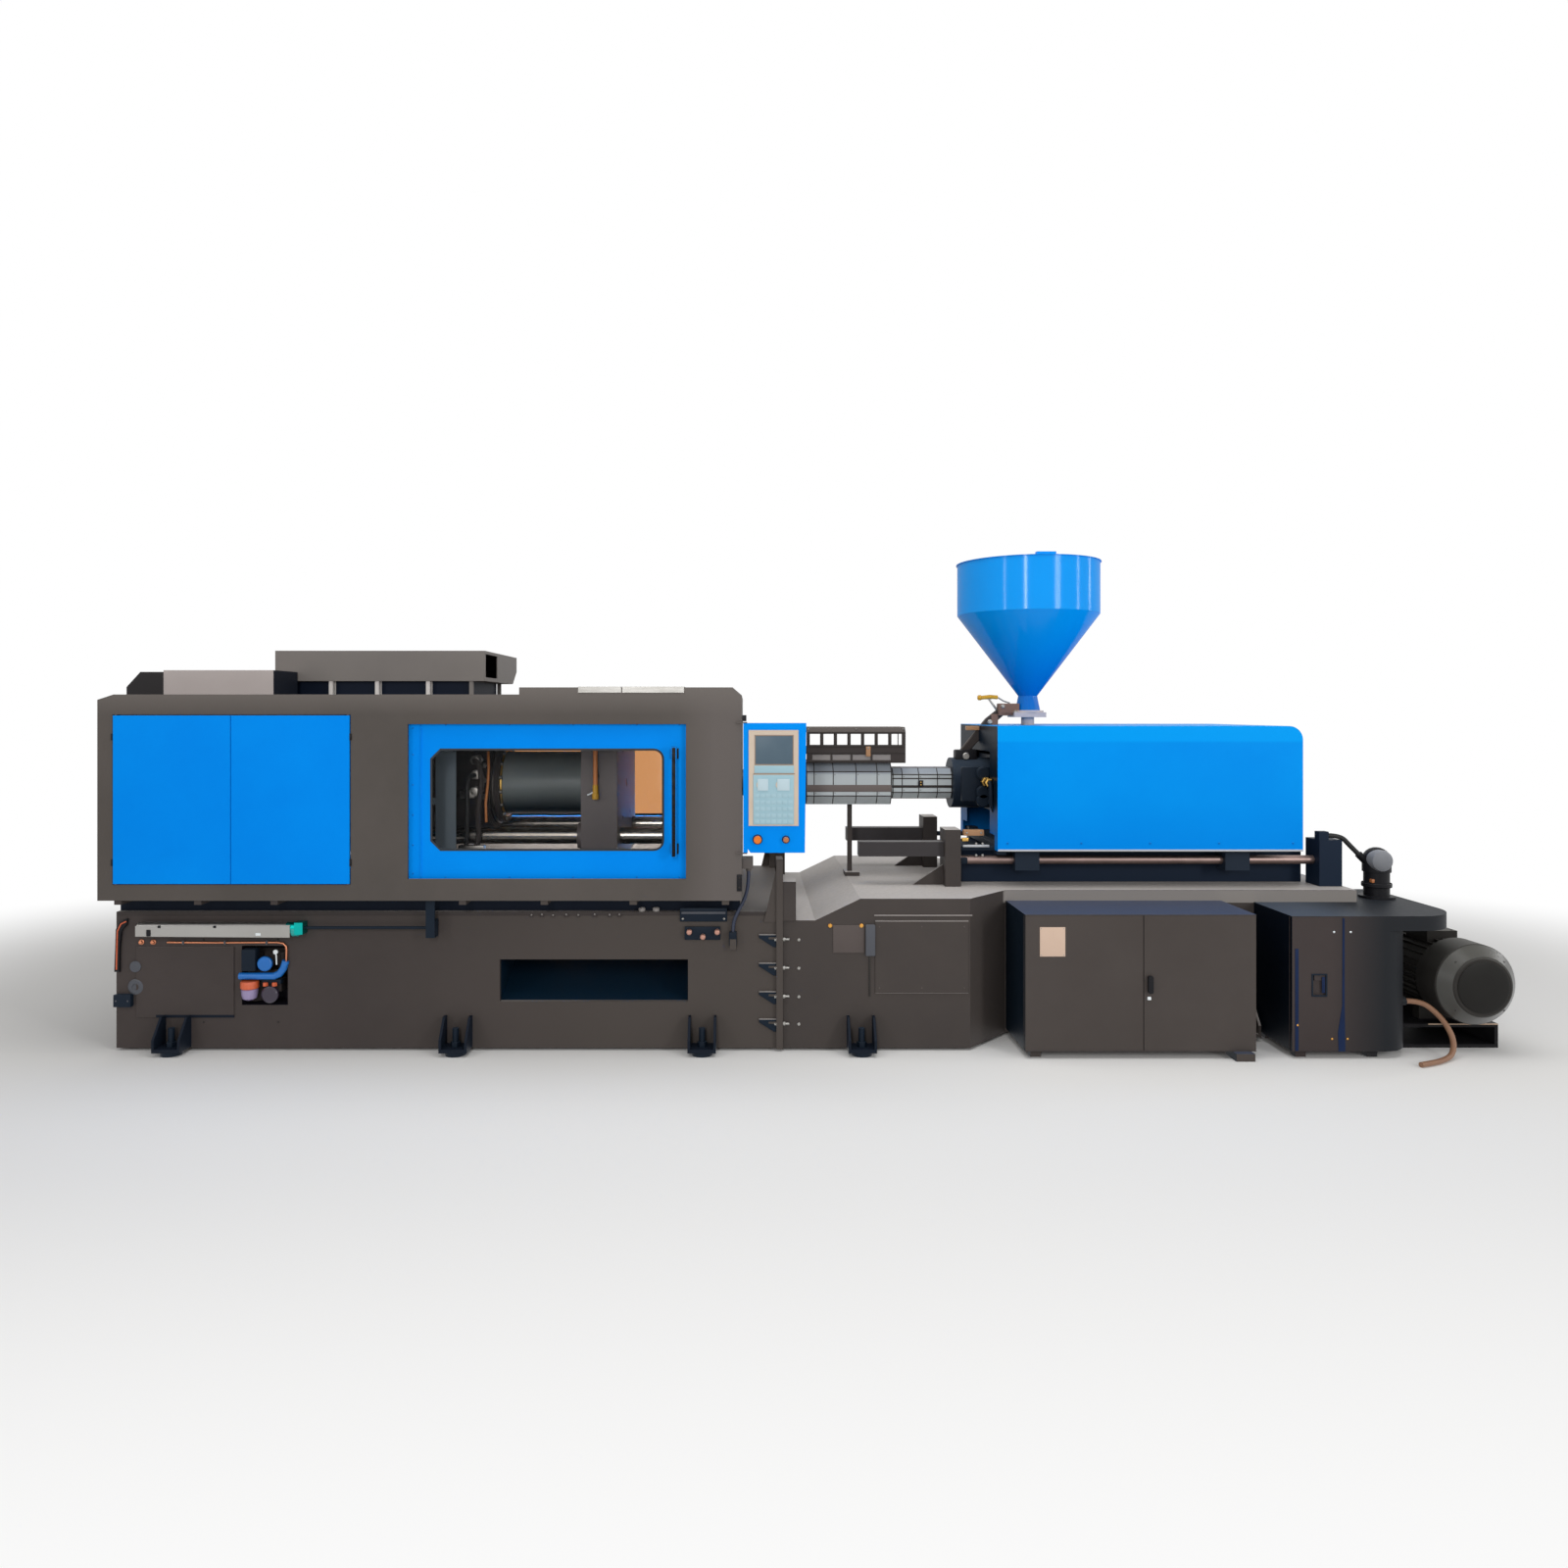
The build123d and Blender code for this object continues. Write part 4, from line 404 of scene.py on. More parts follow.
# Cast and coated polycarbonate sheet: clear or bronze, with faint wipe marks in its gloss
def polycarbonate(name, tint, roughness, alpha, transmission=0.0):
    material, tree, shader, place, rounding = startMaterial(name, 1.0)
    wipes = addNode(tree, "VectorMath", {"operation": "MULTIPLY", 1: (1.0, 1.0, 4.0)}, {0: place})
    wipes = addNode(tree, "TexNoise", {"Scale": 1000 / 260, "Detail": 5.0}, {"Vector": wipes.outputs[0]})
    gloss = addNode(tree, "MapRange", {"From Min": 0.4, "From Max": 0.8, "To Min": roughness,
                                                  "To Max": roughness + 0.05}, {"Value": wipes.outputs[0]})
    shader.inputs["Base Color"].default_value = linear(tint)
    tree.links.new(gloss.outputs[0], shader.inputs["Roughness"])
    shader.inputs["Specular IOR Level"].default_value = 0.5
    shader.inputs["Alpha"].default_value = alpha
    shader.inputs["Transmission Weight"].default_value = transmission
    return material


platenIron = castIron("platenCastIron", "#574f4f", "#625a59", "#a8a29c")
chromeRod = workedMetal("hardChromedBar", "#a59f98", "#7f766e", 0.22, 5)
oiledRod = workedMetal("oiledGuideRod", "#97827c", "#7d6a64", 0.42, 8)
# Ram: its pale colour is a painted highlight, and the dark navy on its lower part painted shade
ramSteel = mouldedPlastic("oiledRamPaintedLightAndShade", "#868e8f", "#8c9494", 0.3, 400, specular=0.35, bumpStrength=0.0)
paintBeyond(ramSteel, "Z", 1400, 150, "#10242e", above=False)
rodHeadNavy = sprayedEnamel("rodHeadNavyEnamel", "#16202c", "#1c2733", "#2a3440", "#333c47", 0.4)
slideNavy = sprayedEnamel("slideUnitNavyEnamel", "#212b38", "#28323f", "#3b4550", "#46505a", 0.45)
slideGrey = sprayedEnamel("slideCylinderEnamel", "#3d3a3b", "#454243", "#6a6867", "#5e5b5a", 0.45)
labelPlate = mouldedPlastic("bareLabelPlate", "#cbb09c", "#d3b9a6", 0.5, 3, specular=0.2)
silverProfile = sprayedEnamel("silverProfileEnamel", "#aaa8a4", "#b4b2ae", "#c2c0bc", "#cfcdc9", 0.4)
turnedSteel = workedMetal("turnedSteel", "#8d8984", "#68635e", 0.34, 4, layAlong="Z")
nitridedSteel = workedMetal("nitridedBarrelSteel", "#5d5a57", "#43403d", 0.4, 4)
guardSheet = sprayedEnamel("barrelGuardEnamel", "#bcc3c5", "#aeb5b7", "#b4baba", "#c5cbca", 0.4)
paintBeyond(guardSheet, "Z", 1548, 12, "#9da4ac")
guardBrown = sprayedEnamel("barrelGuardShade", "#6c6360", "#746b67", "#746b67", "#847b77", 0.45)
guardFrame = sprayedEnamel("barrelGuardFrame", "#35312f", "#3e3937", "#4d4845", "#5c5652", 0.45)
navyPaint = sprayedEnamel("navyFrameEnamel", "#141d28", "#1a2430", "#2a3440", "#333c47", 0.42)
slatePaint = sprayedEnamel("slatePlateEnamel", "#4f5157", "#585a60", "#6d6e72", "#77787b", 0.42)
shieldPaint = sprayedEnamel("innerShieldEnamel", "#606a71", "#677178", "#5a6167", "#5e656b", 0.45)
tanPaint = sprayedEnamel("tanStrapEnamel", "#a9805f", "#b28a68", "#b9936f", "#c39f7c", 0.45)
bracketBrown = sprayedEnamel("bracketBrownEnamel", "#7d6154", "#886b5d", "#94786a", "#a48877", 0.45)
paleDisc = sprayedEnamel("palePressedCap", "#7f8186", "#8a8c91", "#9b9da2", "#a9abaf", 0.4)
panelGrey = sprayedEnamel("ventPanelGrey", "#8a8583", "#928d8b", "#9a9593", "#a5a09d", 0.42)
accessPaint = sprayedEnamel("accessCoverEnamel", "#544c4a", "#5c5451", "#6e6763", "#68605b", 0.46)
cowlDisc = sprayedEnamel("cowlDiscEnamel", "#1b1a19", "#22211f", "#4a4946", "#45433f", 0.45)
cowlRim = sprayedEnamel("cowlRimEnamel", "#33322f", "#3d3c38", "#55544e", "#5d5b55", 0.3, specular=0.4)
edgeTan = sprayedEnamel("frameEdgeTan", "#b39b85", "#bda58f", "#c6b09b", "#cdb8a4", 0.42)
studGrey = sprayedEnamel("greaseStudGrey", "#8a8583", "#95908d", "#a09b98", "#aba6a2", 0.4)
pinkBronze = workedMetal("bronzeConnector", "#b48a7c", "#946c60", 0.45, 3, layAlong="Y")
paleTrim = sprayedEnamel("paleTrimEnamel", "#b9bcc0", "#c3c6c9", "#cfd1d3", "#d5d7d8", 0.4)
# Pale colour of the access cover's rail and edges
paleEdge = sprayedEnamel("paleEdgeEnamel", "#857f7c", "#918b88", "#a09a97", "#a8a29e", 0.42)
blueScrew = sprayedEnamel("paintedOverScrew", "#0178d2", "#0280da", "#2a8fdc", "#3a9fe8", 0.42)
anodised = workedMetal("anodisedAluminium", "#c4c2be", "#a9a6a1", 0.36, 5)
zincSheet = workedMetal("zincPlatedSheet", "#9c9a96", "#7d7a75", 0.4, 8)
paintBeyond(anodised, "X", -2990, 2, "#16a6a0")
brassFitting = workedMetal("turnedBrass", "#c9a25a", "#a3803c", 0.3, 3, layAlong="Z")
copperPipe = workedMetal("drawnCopper", "#c58263", "#9a5c41", 0.32, 3)
yellowZinc = workedMetal("yellowZincScrew", "#cf9a4e", "#a8752f", 0.38, 3, layAlong="Y")
blackScrew = workedMetal("blackOxideScrew", "#3a3836", "#2a2827", 0.42, 3, layAlong="Y")
blackNylon = mouldedPlastic("blackNylon", "#131316", "#1b1b1f", 0.42, 3, specular=0.15)
blackRubber = mouldedPlastic("blackRubber", "#1a1a1b", "#242425", 0.6, 4, specular=0.35)
brownHoseRubber = mouldedPlastic("brownHoseRubber", "#7a563f", "#8d6a52", 0.5, 4, specular=0.4)
cablePvc = mouldedPlastic("cablePvcSheath", "#1b2233", "#27304a", 0.45, 4)
beigeAbs = mouldedPlastic("beigeAbsBezel", "#cfbfae", "#c6b4a2", 0.45, 3, specular=0.2)
paleAbs = mouldedPlastic("paleBlueMembrane", "#93b6c2", "#a1c0ca", 0.5, 2, specular=0.25)
screenGlass = mouldedPlastic("greyScreenGlass", "#50616e", "#586a76", 0.3, 30, specular=0.12,
                             bumpStrength=0.02)
stopRed = mouldedPlastic("orangeRedAbs", "#e8741c", "#e27c2c", 0.3, 3, specular=0.2)
brownAbs = mouldedPlastic("brownOrangeAbs", "#a8653a", "#b4713f", 0.35, 3)
purpleBowl = mouldedPlastic("lilacBowlPlastic", "#8d7ea6", "#a093b8", 0.2, 20)
bluePipe = mouldedPlastic("bluePolyurethanePipe", "#0b62b0", "#1471c4", 0.35, 8)
orangeCap = mouldedPlastic("orangeCapPlastic", "#d8653c", "#c85a34", 0.4, 3)
navyBlueEdge = mouldedPlastic("navyBlueEdge", "#131f3a", "#18294c", 0.4, 6, specular=0.1)
tealCap = mouldedPlastic("tealCapPlastic", "#16a6a0", "#1c9a95", 0.35, 3)
yellowPlastic = mouldedPlastic("yellowElbowPlastic", "#d9a41f", "#c79420", 0.35, 4)
rustHose = mouldedPlastic("rustBrownHose", "#c9783c", "#d68647", 0.4, 5)
sealRubber = mouldedPlastic("glazingSealRubber", "#23272b", "#2b2f33", 0.6, 4, specular=0.3)
whiteKey = mouldedPlastic("whiteKeyPlastic", "#e9eef0", "#dfe6e9", 0.4, 2)
softKey = mouldedPlastic("softSquareKey", "#b4c9d1", "#bed1d8", 0.5, 2, specular=0.2)
rowKey = mouldedPlastic("rowKeyMembrane", "#9bbbc6", "#a5c2cc", 0.5, 2, specular=0.2)
# Darker copy of the bezel's beige: painted shade on the screen's bead and under the status strip
beigeShadow = mouldedPlastic("beigeScreenBeadPaintedShade", "#8d7a6b", "#978474", 0.5, 3)
darkBowl = mouldedPlastic("darkPurpleBowl", "#2c2433", "#3a3042", 0.2, 20)
clearPane = polycarbonate("clearPolycarbonate", "#22282c", 0.05, 0.05)
bronzePane = polycarbonate("bronzePolycarbonate", "#d99a65", 0.06, 1.0, transmission=1.0)
print("metals, plastics and panes made")

finishes = {
    "clamp_base": baseEnamel, "injection_base": injectionEnamel, "levelling_pads": navyPaint,
    "guard_front": guardEnamel, "guard_rear": guardEnamel, "guard_top": guardEnamel, "top_lids": zincSheet,
    "top_tray": trayEnamel, "top_hood": hoodEnamel,
    "clamp_door_left": doorBlue, "clamp_door_right": doorBlue, "front_gate": doorBlue, "rear_gate": doorBlue,
    "front_window": clearPane, "rear_window": bronzePane, "gate_rails": zincSheet, "gate_cylinder": anodised,
    "gate_rod": rodHeadNavy, "inner_shield": shieldPaint,
    "cylinder_platen": platenIron, "moving_platen": platenIron, "fixed_platen": platenIron,
    "clamp_cylinder": machinePaint, "clamp_ram": ramSteel, "tie_bars": chromeRod, "ejector_rod": chromeRod,
    "control_panel": doorBlue, "panel_face": beigeAbs, "emergency_stop": stopRed, "start_button": brownAbs,
    "guide_rods": oiledRod, "shift_cylinder": slideGrey, "carriage": slideNavy,
    "barrel": nitridedSteel, "nozzle": turnedSteel, "screw": nitridedSteel,
    "barrel_guard_front": guardSheet, "barrel_guard_rear": guardSheet, "barrel_guard_top": machinePaint,
    "injection_cylinders": machinePaint, "crosshead": platenIron, "screw_motor": machinePaint,
    "injection_cover": coverBlue, "hopper": hopperBlue, "hopper_lid": hopperBlue, "shutoff_slide": zincSheet,
    "electric_cabinet": cabinetEnamel,
    "cabinet_door_left": cabinetEnamel, "cabinet_door_right": cabinetEnamel,
    "cabinet_handle": blackNylon, "pump_cabinet": pumpCabinetEnamel, "pump_cabinet_door": pumpCabinetEnamel,
    "drive_motor": motorEnamel, "motor_fan": blackNylon, "pump": machinePaint, "return_filter": blackNylon,
    "air_unit": machinePaint, "suction_hose": blackRubber, "drain_hose": brownHoseRubber,
    "panel_cable": cablePvc,
}
for nodeName, finish in finishes.items():
    for materialSlot in nodes[nodeName].material_slots:
        materialSlot.material = finish
print("frame nodes finished:", len(finishes))


# Block between pairs of x, y and z, its edges rounded. Lengths here and below are millimetres in the
# machine's own frame, and newPiece turns them to metres
def addBlock(work, x, y, z, edge=2.0, finish=0):
    corners = [work.verts.new((a, b, c)) for a in x for b in y for c in z]
    sides = [(0, 1, 3, 2), (4, 6, 7, 5), (0, 4, 5, 1), (2, 3, 7, 6), (0, 2, 6, 4), (1, 5, 7, 3)]
    faces = [work.faces.new([corners[i] for i in side]) for side in sides]
    for face in faces:
        face.material_index = finish
    if edge:
        edges = list(dict.fromkeys(line for face in faces for line in face.edges))
        bmesh.ops.bevel(work, geom=edges, offset=edge, segments=2, profile=0.6, affect="EDGES",
                        clamp_overlap=True, material=-1)


# Turned form: a profile of (radius, distance) pairs around an axis through base
def addLathe(work, base, axis, profile, sides=28, finish=0, turn=0.0):
    spin = Vector((0, 0, 1)).rotation_difference(Vector(axis)).to_matrix()
    rings = []
    for radius, along in profile:
        count = 1 if radius == 0 else sides
        angles = [turn + 2 * math.pi * k / sides for k in range(count)]
        points = [Vector((radius * math.cos(a), radius * math.sin(a), along)) for a in angles]
        rings.append([work.verts.new(Vector(base) + spin @ point) for point in points])
    for low, high in zip(rings, rings[1:]):
        for k in range(sides):
            corners = [low[k % len(low)], low[(k + 1) % len(low)],
                       high[(k + 1) % len(high)], high[k % len(high)]]
            corners = list(dict.fromkeys(corners))
            if len(corners) > 2:
                work.faces.new(corners).material_index = finish


# Point at a distance along an axis, from a pair in the plane across it
def onPlane(axis, pair, along):
    a, b = pair
    return {"X": (along, a, b), "Y": (a, along, b), "Z": (a, b, along)}[axis]


# Flat form: an outline of points in the plane across an axis, between two distances along it
def addOutline(work, axis, points, low, high, edge=1.0, finish=0):
    first = [work.verts.new(onPlane(axis, point, low)) for point in points]
    second = [work.verts.new(onPlane(axis, point, high)) for point in points]
    faces = [work.faces.new(first), work.faces.new(second)]
    for k in range(len(points)):
        following = (k + 1) % len(points)
        faces.append(work.faces.new([first[k], first[following], second[following], second[k]]))
    for face in faces:
        face.material_index = finish
    if edge:
        rims = list(dict.fromkeys(line for face in faces[:2] for line in face.edges))
        bmesh.ops.bevel(work, geom=rims, offset=edge, segments=1, affect="EDGES", clamp_overlap=True,
                        material=-1)


# Frame between two outlines with the same number of points
def addRing(work, axis, outer, inner, low, high, finish=0):
    loops = [[work.verts.new(onPlane(axis, point, along)) for point in points]
             for points, along in ((outer, low), (outer, high), (inner, high), (inner, low))]
    for loop, following in zip(loops, loops[1:] + loops[:1]):
        for k in range(len(outer)):
            n = (k + 1) % len(outer)
            work.faces.new([loop[k], loop[n], following[n], following[k]]).material_index = finish


# Round bar or bent pipe through the points given
def addPipe(work, points, radius, sides=14, finish=0):
    points = [Vector(point) for point in points]
    headings = [(after - before).normalized() for before, after in zip(points, points[1:])]
    across = headings[0].orthogonal().normalized()
    rings = []
    for k, point in enumerate(points):
        before, after = headings[max(k - 1, 0)], headings[min(k, len(headings) - 1)]
        heading = (before + after).normalized()
        across = (across - heading * across.dot(heading)).normalized()
        other = heading.cross(across)
        stretch = 1 / max(heading.dot(after), 0.5) if 0 < k < len(points) - 1 else 1
        angles = [2 * math.pi * j / sides for j in range(sides)]
        rings.append([work.verts.new(point + (across * math.cos(a) + other * math.sin(a)) * radius * stretch)
                      for a in angles])
    for low, high in zip(rings, rings[1:]):
        for j in range(sides):
            n = (j + 1) % sides
            work.faces.new([low[j], low[n], high[n], high[j]]).material_index = finish
    work.faces.new(rings[0]).material_index = finish
    work.faces.new(rings[-1]).material_index = finish


# Hexagon head with its chamfer, on a turned washer
def addHexBolt(work, base, axis, across=19.0, head=8.0, finish=0, washer=True):
    r = across / math.sqrt(3)
    foot = 2.0 if washer else 0.0
    if washer:
        disc = [(0, 0), (r * 1.2, 0), (r * 1.2, 1.4), (r * 1.12, foot), (0, foot)]
        addLathe(work, base, axis, disc, 20, finish)
    profile = [(r, foot), (r, foot + head * 0.82), (r * 0.86, foot + head), (0, foot + head)]
    # Each bolt stops at its own angle, worked out from its place
    addLathe(work, base, axis, profile, 6, finish, turn=(base[0] * 0.37 + base[2] * 0.11) % 1.0)


# Cheese head with a hexagon socket
def addSocketScrew(work, base, axis, radius=8.0, head=8.0, finish=0):
    profile = [(radius, 0), (radius, head * 0.85), (radius * 0.88, head), (radius * 0.5, head)]
    addLathe(work, base, axis, profile, 20, finish)
    socket = [(radius * 0.5, head), (radius * 0.5, head * 0.45), (0, head * 0.45)]
    addLathe(work, base, axis, socket, 6, finish)


# Low round head
def addButtonScrew(work, base, axis, radius=6.0, finish=0):
    shape = [(1.0, 0), (0.93, 0.28), (0.68, 0.52), (0.34, 0.6), (0.3, 0.3), (0, 0.3)]
    addLathe(work, base, axis, [(radius * out, radius * up) for out, up in shape], 18, finish)


# Puts a mesh or curve in the scene, and lets it ride on a body
def linkPiece(name, data, body):
    piece = bpy.data.objects.new(name, data)
    bpy.context.scene.collection.objects.link(piece)
    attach(piece, body)
    return piece


# Makes one piece from its build function and gives it its finishes
def newPiece(name, body, pieceFinishes, build):
    work = bmesh.new()
    build(work)
    bmesh.ops.scale(work, vec=(0.001, 0.001, 0.001), verts=work.verts)
    bmesh.ops.recalc_face_normals(work, faces=work.faces)
    mesh = bpy.data.meshes.new(name)
    work.to_mesh(mesh)
    work.free()
    for finish in pieceFinishes:
        mesh.materials.append(finish)
    mesh.polygons.foreach_set("use_smooth", [True] * len(mesh.polygons))
    mesh.set_sharp_from_angle(angle=math.radians(32))
    linkPiece(name, mesh, body)


toFront, toRear, toRight, toLeft = (0, -1, 0), (0, 1, 0), (1, 0, 0), (-1, 0, 0)
upwards, down = (0, 0, 1), (0, 0, -1)
clampZ = 1484  # height of the axis that the clamp and the barrel share
baseFront = -900  # front face of both bases
cabinetFront = -1050  # front face of the cabinets' doors


# Corners of a rectangle in order, moved inwards by an inset
def rectangle(x, z, inset=0):
    x0, x1, z0, z1 = x[0] + inset, x[1] - inset, z[0] + inset, z[1] - inset
    return [(x0, z0), (x1, z0), (x1, z1), (x0, z1)]


# Places spread evenly round a circle, as pairs in the plane across its axis
def aroundCircle(centre, radius, count, firstDegrees):
    angles = [math.radians(index * 360 / count + firstDegrees) for index in range(count)]
    return [(centre[0] + radius * math.cos(a), centre[1] + radius * math.sin(a)) for a in angles]


# Control panel: screen with its bead, status strip, key membrane and the collars of its two buttons
panel = {
    "faceY": -1060,
    "screen": ((-316, -98), (1654, 1822)),
    "bead": 5,
    "strip": ((-318, -96), (1609, 1651)),
    "membrane": ((-324, -96), (1321, 1599)),
    "margin": 5,
    "squares": [(-300, -240), (-190, -120)],
    "squareZ": (1511, 1577),
    "keyColumns": 7,
    "keyRows": [1483, 1446, 1409, 1372, 1338],
    "keySize": (27, 21),
    "collars": [(-300, 1236, 28), (-141, 1236, 22)],
}


def buildPanelFace(work):
    y = panel["faceY"]
    x, z = panel["screen"]
    addBlock(work, x, (y - 6.5, y - 4), z, 1.0, 0)
    addRing(work, "Y", rectangle(x, z), rectangle(x, z, panel["bead"]), y - 7.6, y - 6.4, 4)
    x, z = panel["strip"]
    addBlock(work, x, (y - 10.5, y - 8), z, 2.0, 1)
    addBlock(work, (x[0] - 6, x[1] + 6), (y - 9.5, y - 8), (z[0] - 7, z[0] - 1), 0.6, 4)
    x, z = panel["membrane"]
    addBlock(work, x, (y - 12.4, y - 11), z, 0.6, 1)
    for square in panel["squares"]:
        addBlock(work, square, (y - 17.5, y - 12.4), panel["squareZ"], 2.5, 2)
    width, height = panel["keySize"]
    pitch = (x[1] - x[0] - 2 * panel["margin"]) / panel["keyColumns"]
    for keyZ in panel["keyRows"]:
        for column in range(panel["keyColumns"]):
            keyX = x[0] + panel["margin"] + pitch * (column + 0.5)
            addBlock(work, (keyX - width / 2, keyX + width / 2), (y - 13.4, y - 12.2),
                     (keyZ - height / 2, keyZ + height / 2), 0.9, 3)
    for collarX, collarZ, radius in panel["collars"]:
        profile = [(radius, 0), (radius, 4), (radius - 2, 6), (radius - 4, 6), (radius - 4, 0)]
        addLathe(work, (collarX, y, collarZ), toFront, profile, 32, 5)


newPiece("panelFaceDetails", "control_panel",
         [screenGlass, paleAbs, softKey, rowKey, beigeShadow, blackNylon], buildPanelFace)

# Seam of the panel's two housing halves and the screws of the rear half
panelHousing = {
    "x": (-372, -36),
    "z": (1230, 1880),
    "seamY": (-991, -988.5),
    "seamWidth": 8,
    "screwX": (-346, -62),
    "screwZ": (1260, 1555, 1850),
    "rearY": -990,
}


def buildPanelHousing(work):
    x, z = panelHousing["x"], panelHousing["z"]
    addRing(work, "Y", rectangle(x, z), rectangle(x, z, panelHousing["seamWidth"]), *panelHousing["seamY"], 0)
    for screwX in panelHousing["screwX"]:
        for screwZ in panelHousing["screwZ"]:
            addButtonScrew(work, (screwX, panelHousing["rearY"], screwZ), toRear, 6, 1)


newPiece("panelHousingDetails", "control_panel", [doorBlue, blackScrew], buildPanelHousing)

# Blocks that the panel's swivel turns in, on the machine's guard
panelSwivel = {
    "upperBlock": ((-384, -362), (-1060, -1036), (1899, 1934)),
    "lowerBlock": ((-416, -387), (-1056, -1046), (944, 1038)),
    "screws": [(-402, -1056, 965), (-402, -1056, 1018)],
}


def buildPanelSwivel(work):
    addBlock(work, *panelSwivel["upperBlock"], 3, 0)
    addBlock(work, *panelSwivel["lowerBlock"], 3, 0)
    for place in panelSwivel["screws"]:
        addButtonScrew(work, place, toFront, 6, 1)


newPiece("panelSwivelBlocks", "machine", [blackNylon, blackScrew], buildPanelSwivel)
print("control panel dressed")

# Sliding gates: black sleeve and standoffs of the handle, window seal, screws along the fold and the edges
gate = {
    "frontY": -1022,
    "handle": ((-785, -751), (-1094, -1072), (1137, 1758)),
    "standoffs": (1179, 1716),
    "standoff": ((-784, -752), (-1076, -1021.5), 22),
    "standoffFoot": ((-792, -744), (-1026, -1022), 30),
    "window": (-2140, -834, 1174, 1738),
    "bevel": 52,
    "seal": (-7, 5),
    "sealProud": 2.4,
    "foldScrewX": -2245,
    "foldScrewZ": (1040, 1200, 1370, 1540, 1710, 1860),
    "edgeScrewX": (-2060, -1700, -1340, -980, -740),
    "edgeScrewZ": (1020, 1878),
}


# Outline of the gate's window, moved inwards: bevels on the left, arcs on the right
def windowOutline(inset):
    x0, x1, z0, z1 = gate["window"]
    x0, x1, z0, z1 = x0 + inset, x1 - inset, z0 + inset, z1 - inset
    cut = gate["bevel"] - inset * 0.6
    bend = gate["bevel"] - inset
    points = [(x0, z0 + cut), (x0 + cut, z0)]
    for startAngle, centreZ in ((-90, z0 + bend), (0, z1 - bend)):
        for step in range(7):
            angle = math.radians(startAngle + step * 15)
            points.append((x1 - bend + bend * math.cos(angle), centreZ + bend * math.sin(angle)))
    return points + [(x0 + cut, z1), (x0, z1 - cut)]


def buildGateDetails(side):
    flip = 1 if side == "front" else -1
    outwards = toFront if side == "front" else toRear
    y = gate["frontY"] * flip

    # The rear gate is the front one mirrored
    def across(depths):
        return tuple(sorted(depth * flip for depth in depths))

    def build(work):
        x, depths, z = gate["handle"]
        addBlock(work, x, across(depths), z, 6, 0)
        for middle in gate["standoffs"]:
            for part, edge in (("standoff", 4), ("standoffFoot", 1.5)):
                x, depths, reach = gate[part]
                addBlock(work, x, across(depths), (middle - reach, middle + reach), edge, 0)
        outer, inner = gate["seal"]
        addRing(work, "Y", windowOutline(outer), windowOutline(inner), y, y - gate["sealProud"] * flip, 1)
        for z in gate["foldScrewZ"]:
            addButtonScrew(work, (gate["foldScrewX"], y, z), outwards, 6, 2)
        for x in gate["edgeScrewX"]:
            for z in gate["edgeScrewZ"]:
                addButtonScrew(work, (x, y, z), outwards, 5, 2)
    return build


for side in ("front", "rear"):
    newPiece(side + "GateDetails", side + "_gate", [blackNylon, sealRubber, blueScrew],
             buildGateDetails(side))

# Hinge caps at the outer edges of the clamp's two doors
doorHinges = {
    "left": (-3931, -2591),
    "middleZ": (1105, 1811),
    "y": (-1058, -1049),
    "width": 10,
    "halfHeight": 19,
}


def buildDoorHinges(work):
    for x in doorHinges["left"]:
        for z in doorHinges["middleZ"]:
            reach = doorHinges["halfHeight"]
            addBlock(work, (x, x + doorHinges["width"]), doorHinges["y"], (z - reach, z + reach), 2, 0)


newPiece("doorHingeCaps", "machine", [blackNylon], buildDoorHinges)
print("gates and doors dressed")

# Clamp cylinder's gland: ring of bolts, wiper, steel band, and the pressure ports on the operator side
gland = {
    "faceX": -1941,
    "boltCircle": 238,
    "bolts": 16,
    "firstBolt": 11,
    "band": 52,
    "ports": [(1648, 30), (1556, 18), (1452, 44)],
    "portX": -2060,
    "plugX": -2014,
    "valve": ((-2150, -2056), (-410, -350), (1412, 1462)),
}


def buildGland(work):
    face = gland["faceX"]
    for y, z in aroundCircle((0, clampZ), gland["boltCircle"], gland["bolts"], gland["firstBolt"]):
        addSocketScrew(work, (face, y, z), toRight, 13, 14, 0)
    addLathe(work, (face, 0, clampZ), toRight, [(226, 0), (222, 9), (209, 9), (206, 2)], 64, 1)
    band = [(262, 0), (266, 3), (266, 15), (262, 18)]
    addLathe(work, (face - gland["band"], 0, clampZ), toRight, band, 64, 0)
    # Bright unions of different length, each with a plug beside it
    for z, reach in gland["ports"]:
        union = [(34, 0), (34, 12), (25, 16), (25, 40 + reach), (31, 42 + reach), (31, 64 + reach),
                 (20, 66 + reach), (0, 66 + reach)]
        addLathe(work, (gland["portX"], -300, z), toFront, union, 6, 0)
        plug = [(14, 0), (18, 6), (18, 26), (12, 30), (0, 30)]
        addLathe(work, (gland["plugX"], -330, z - 34), toFront, plug, 6, 0)
    addBlock(work, *gland["valve"], 9, 0)


newPiece("glandFittings", "machine", [turnedSteel, brassFitting], buildGland)

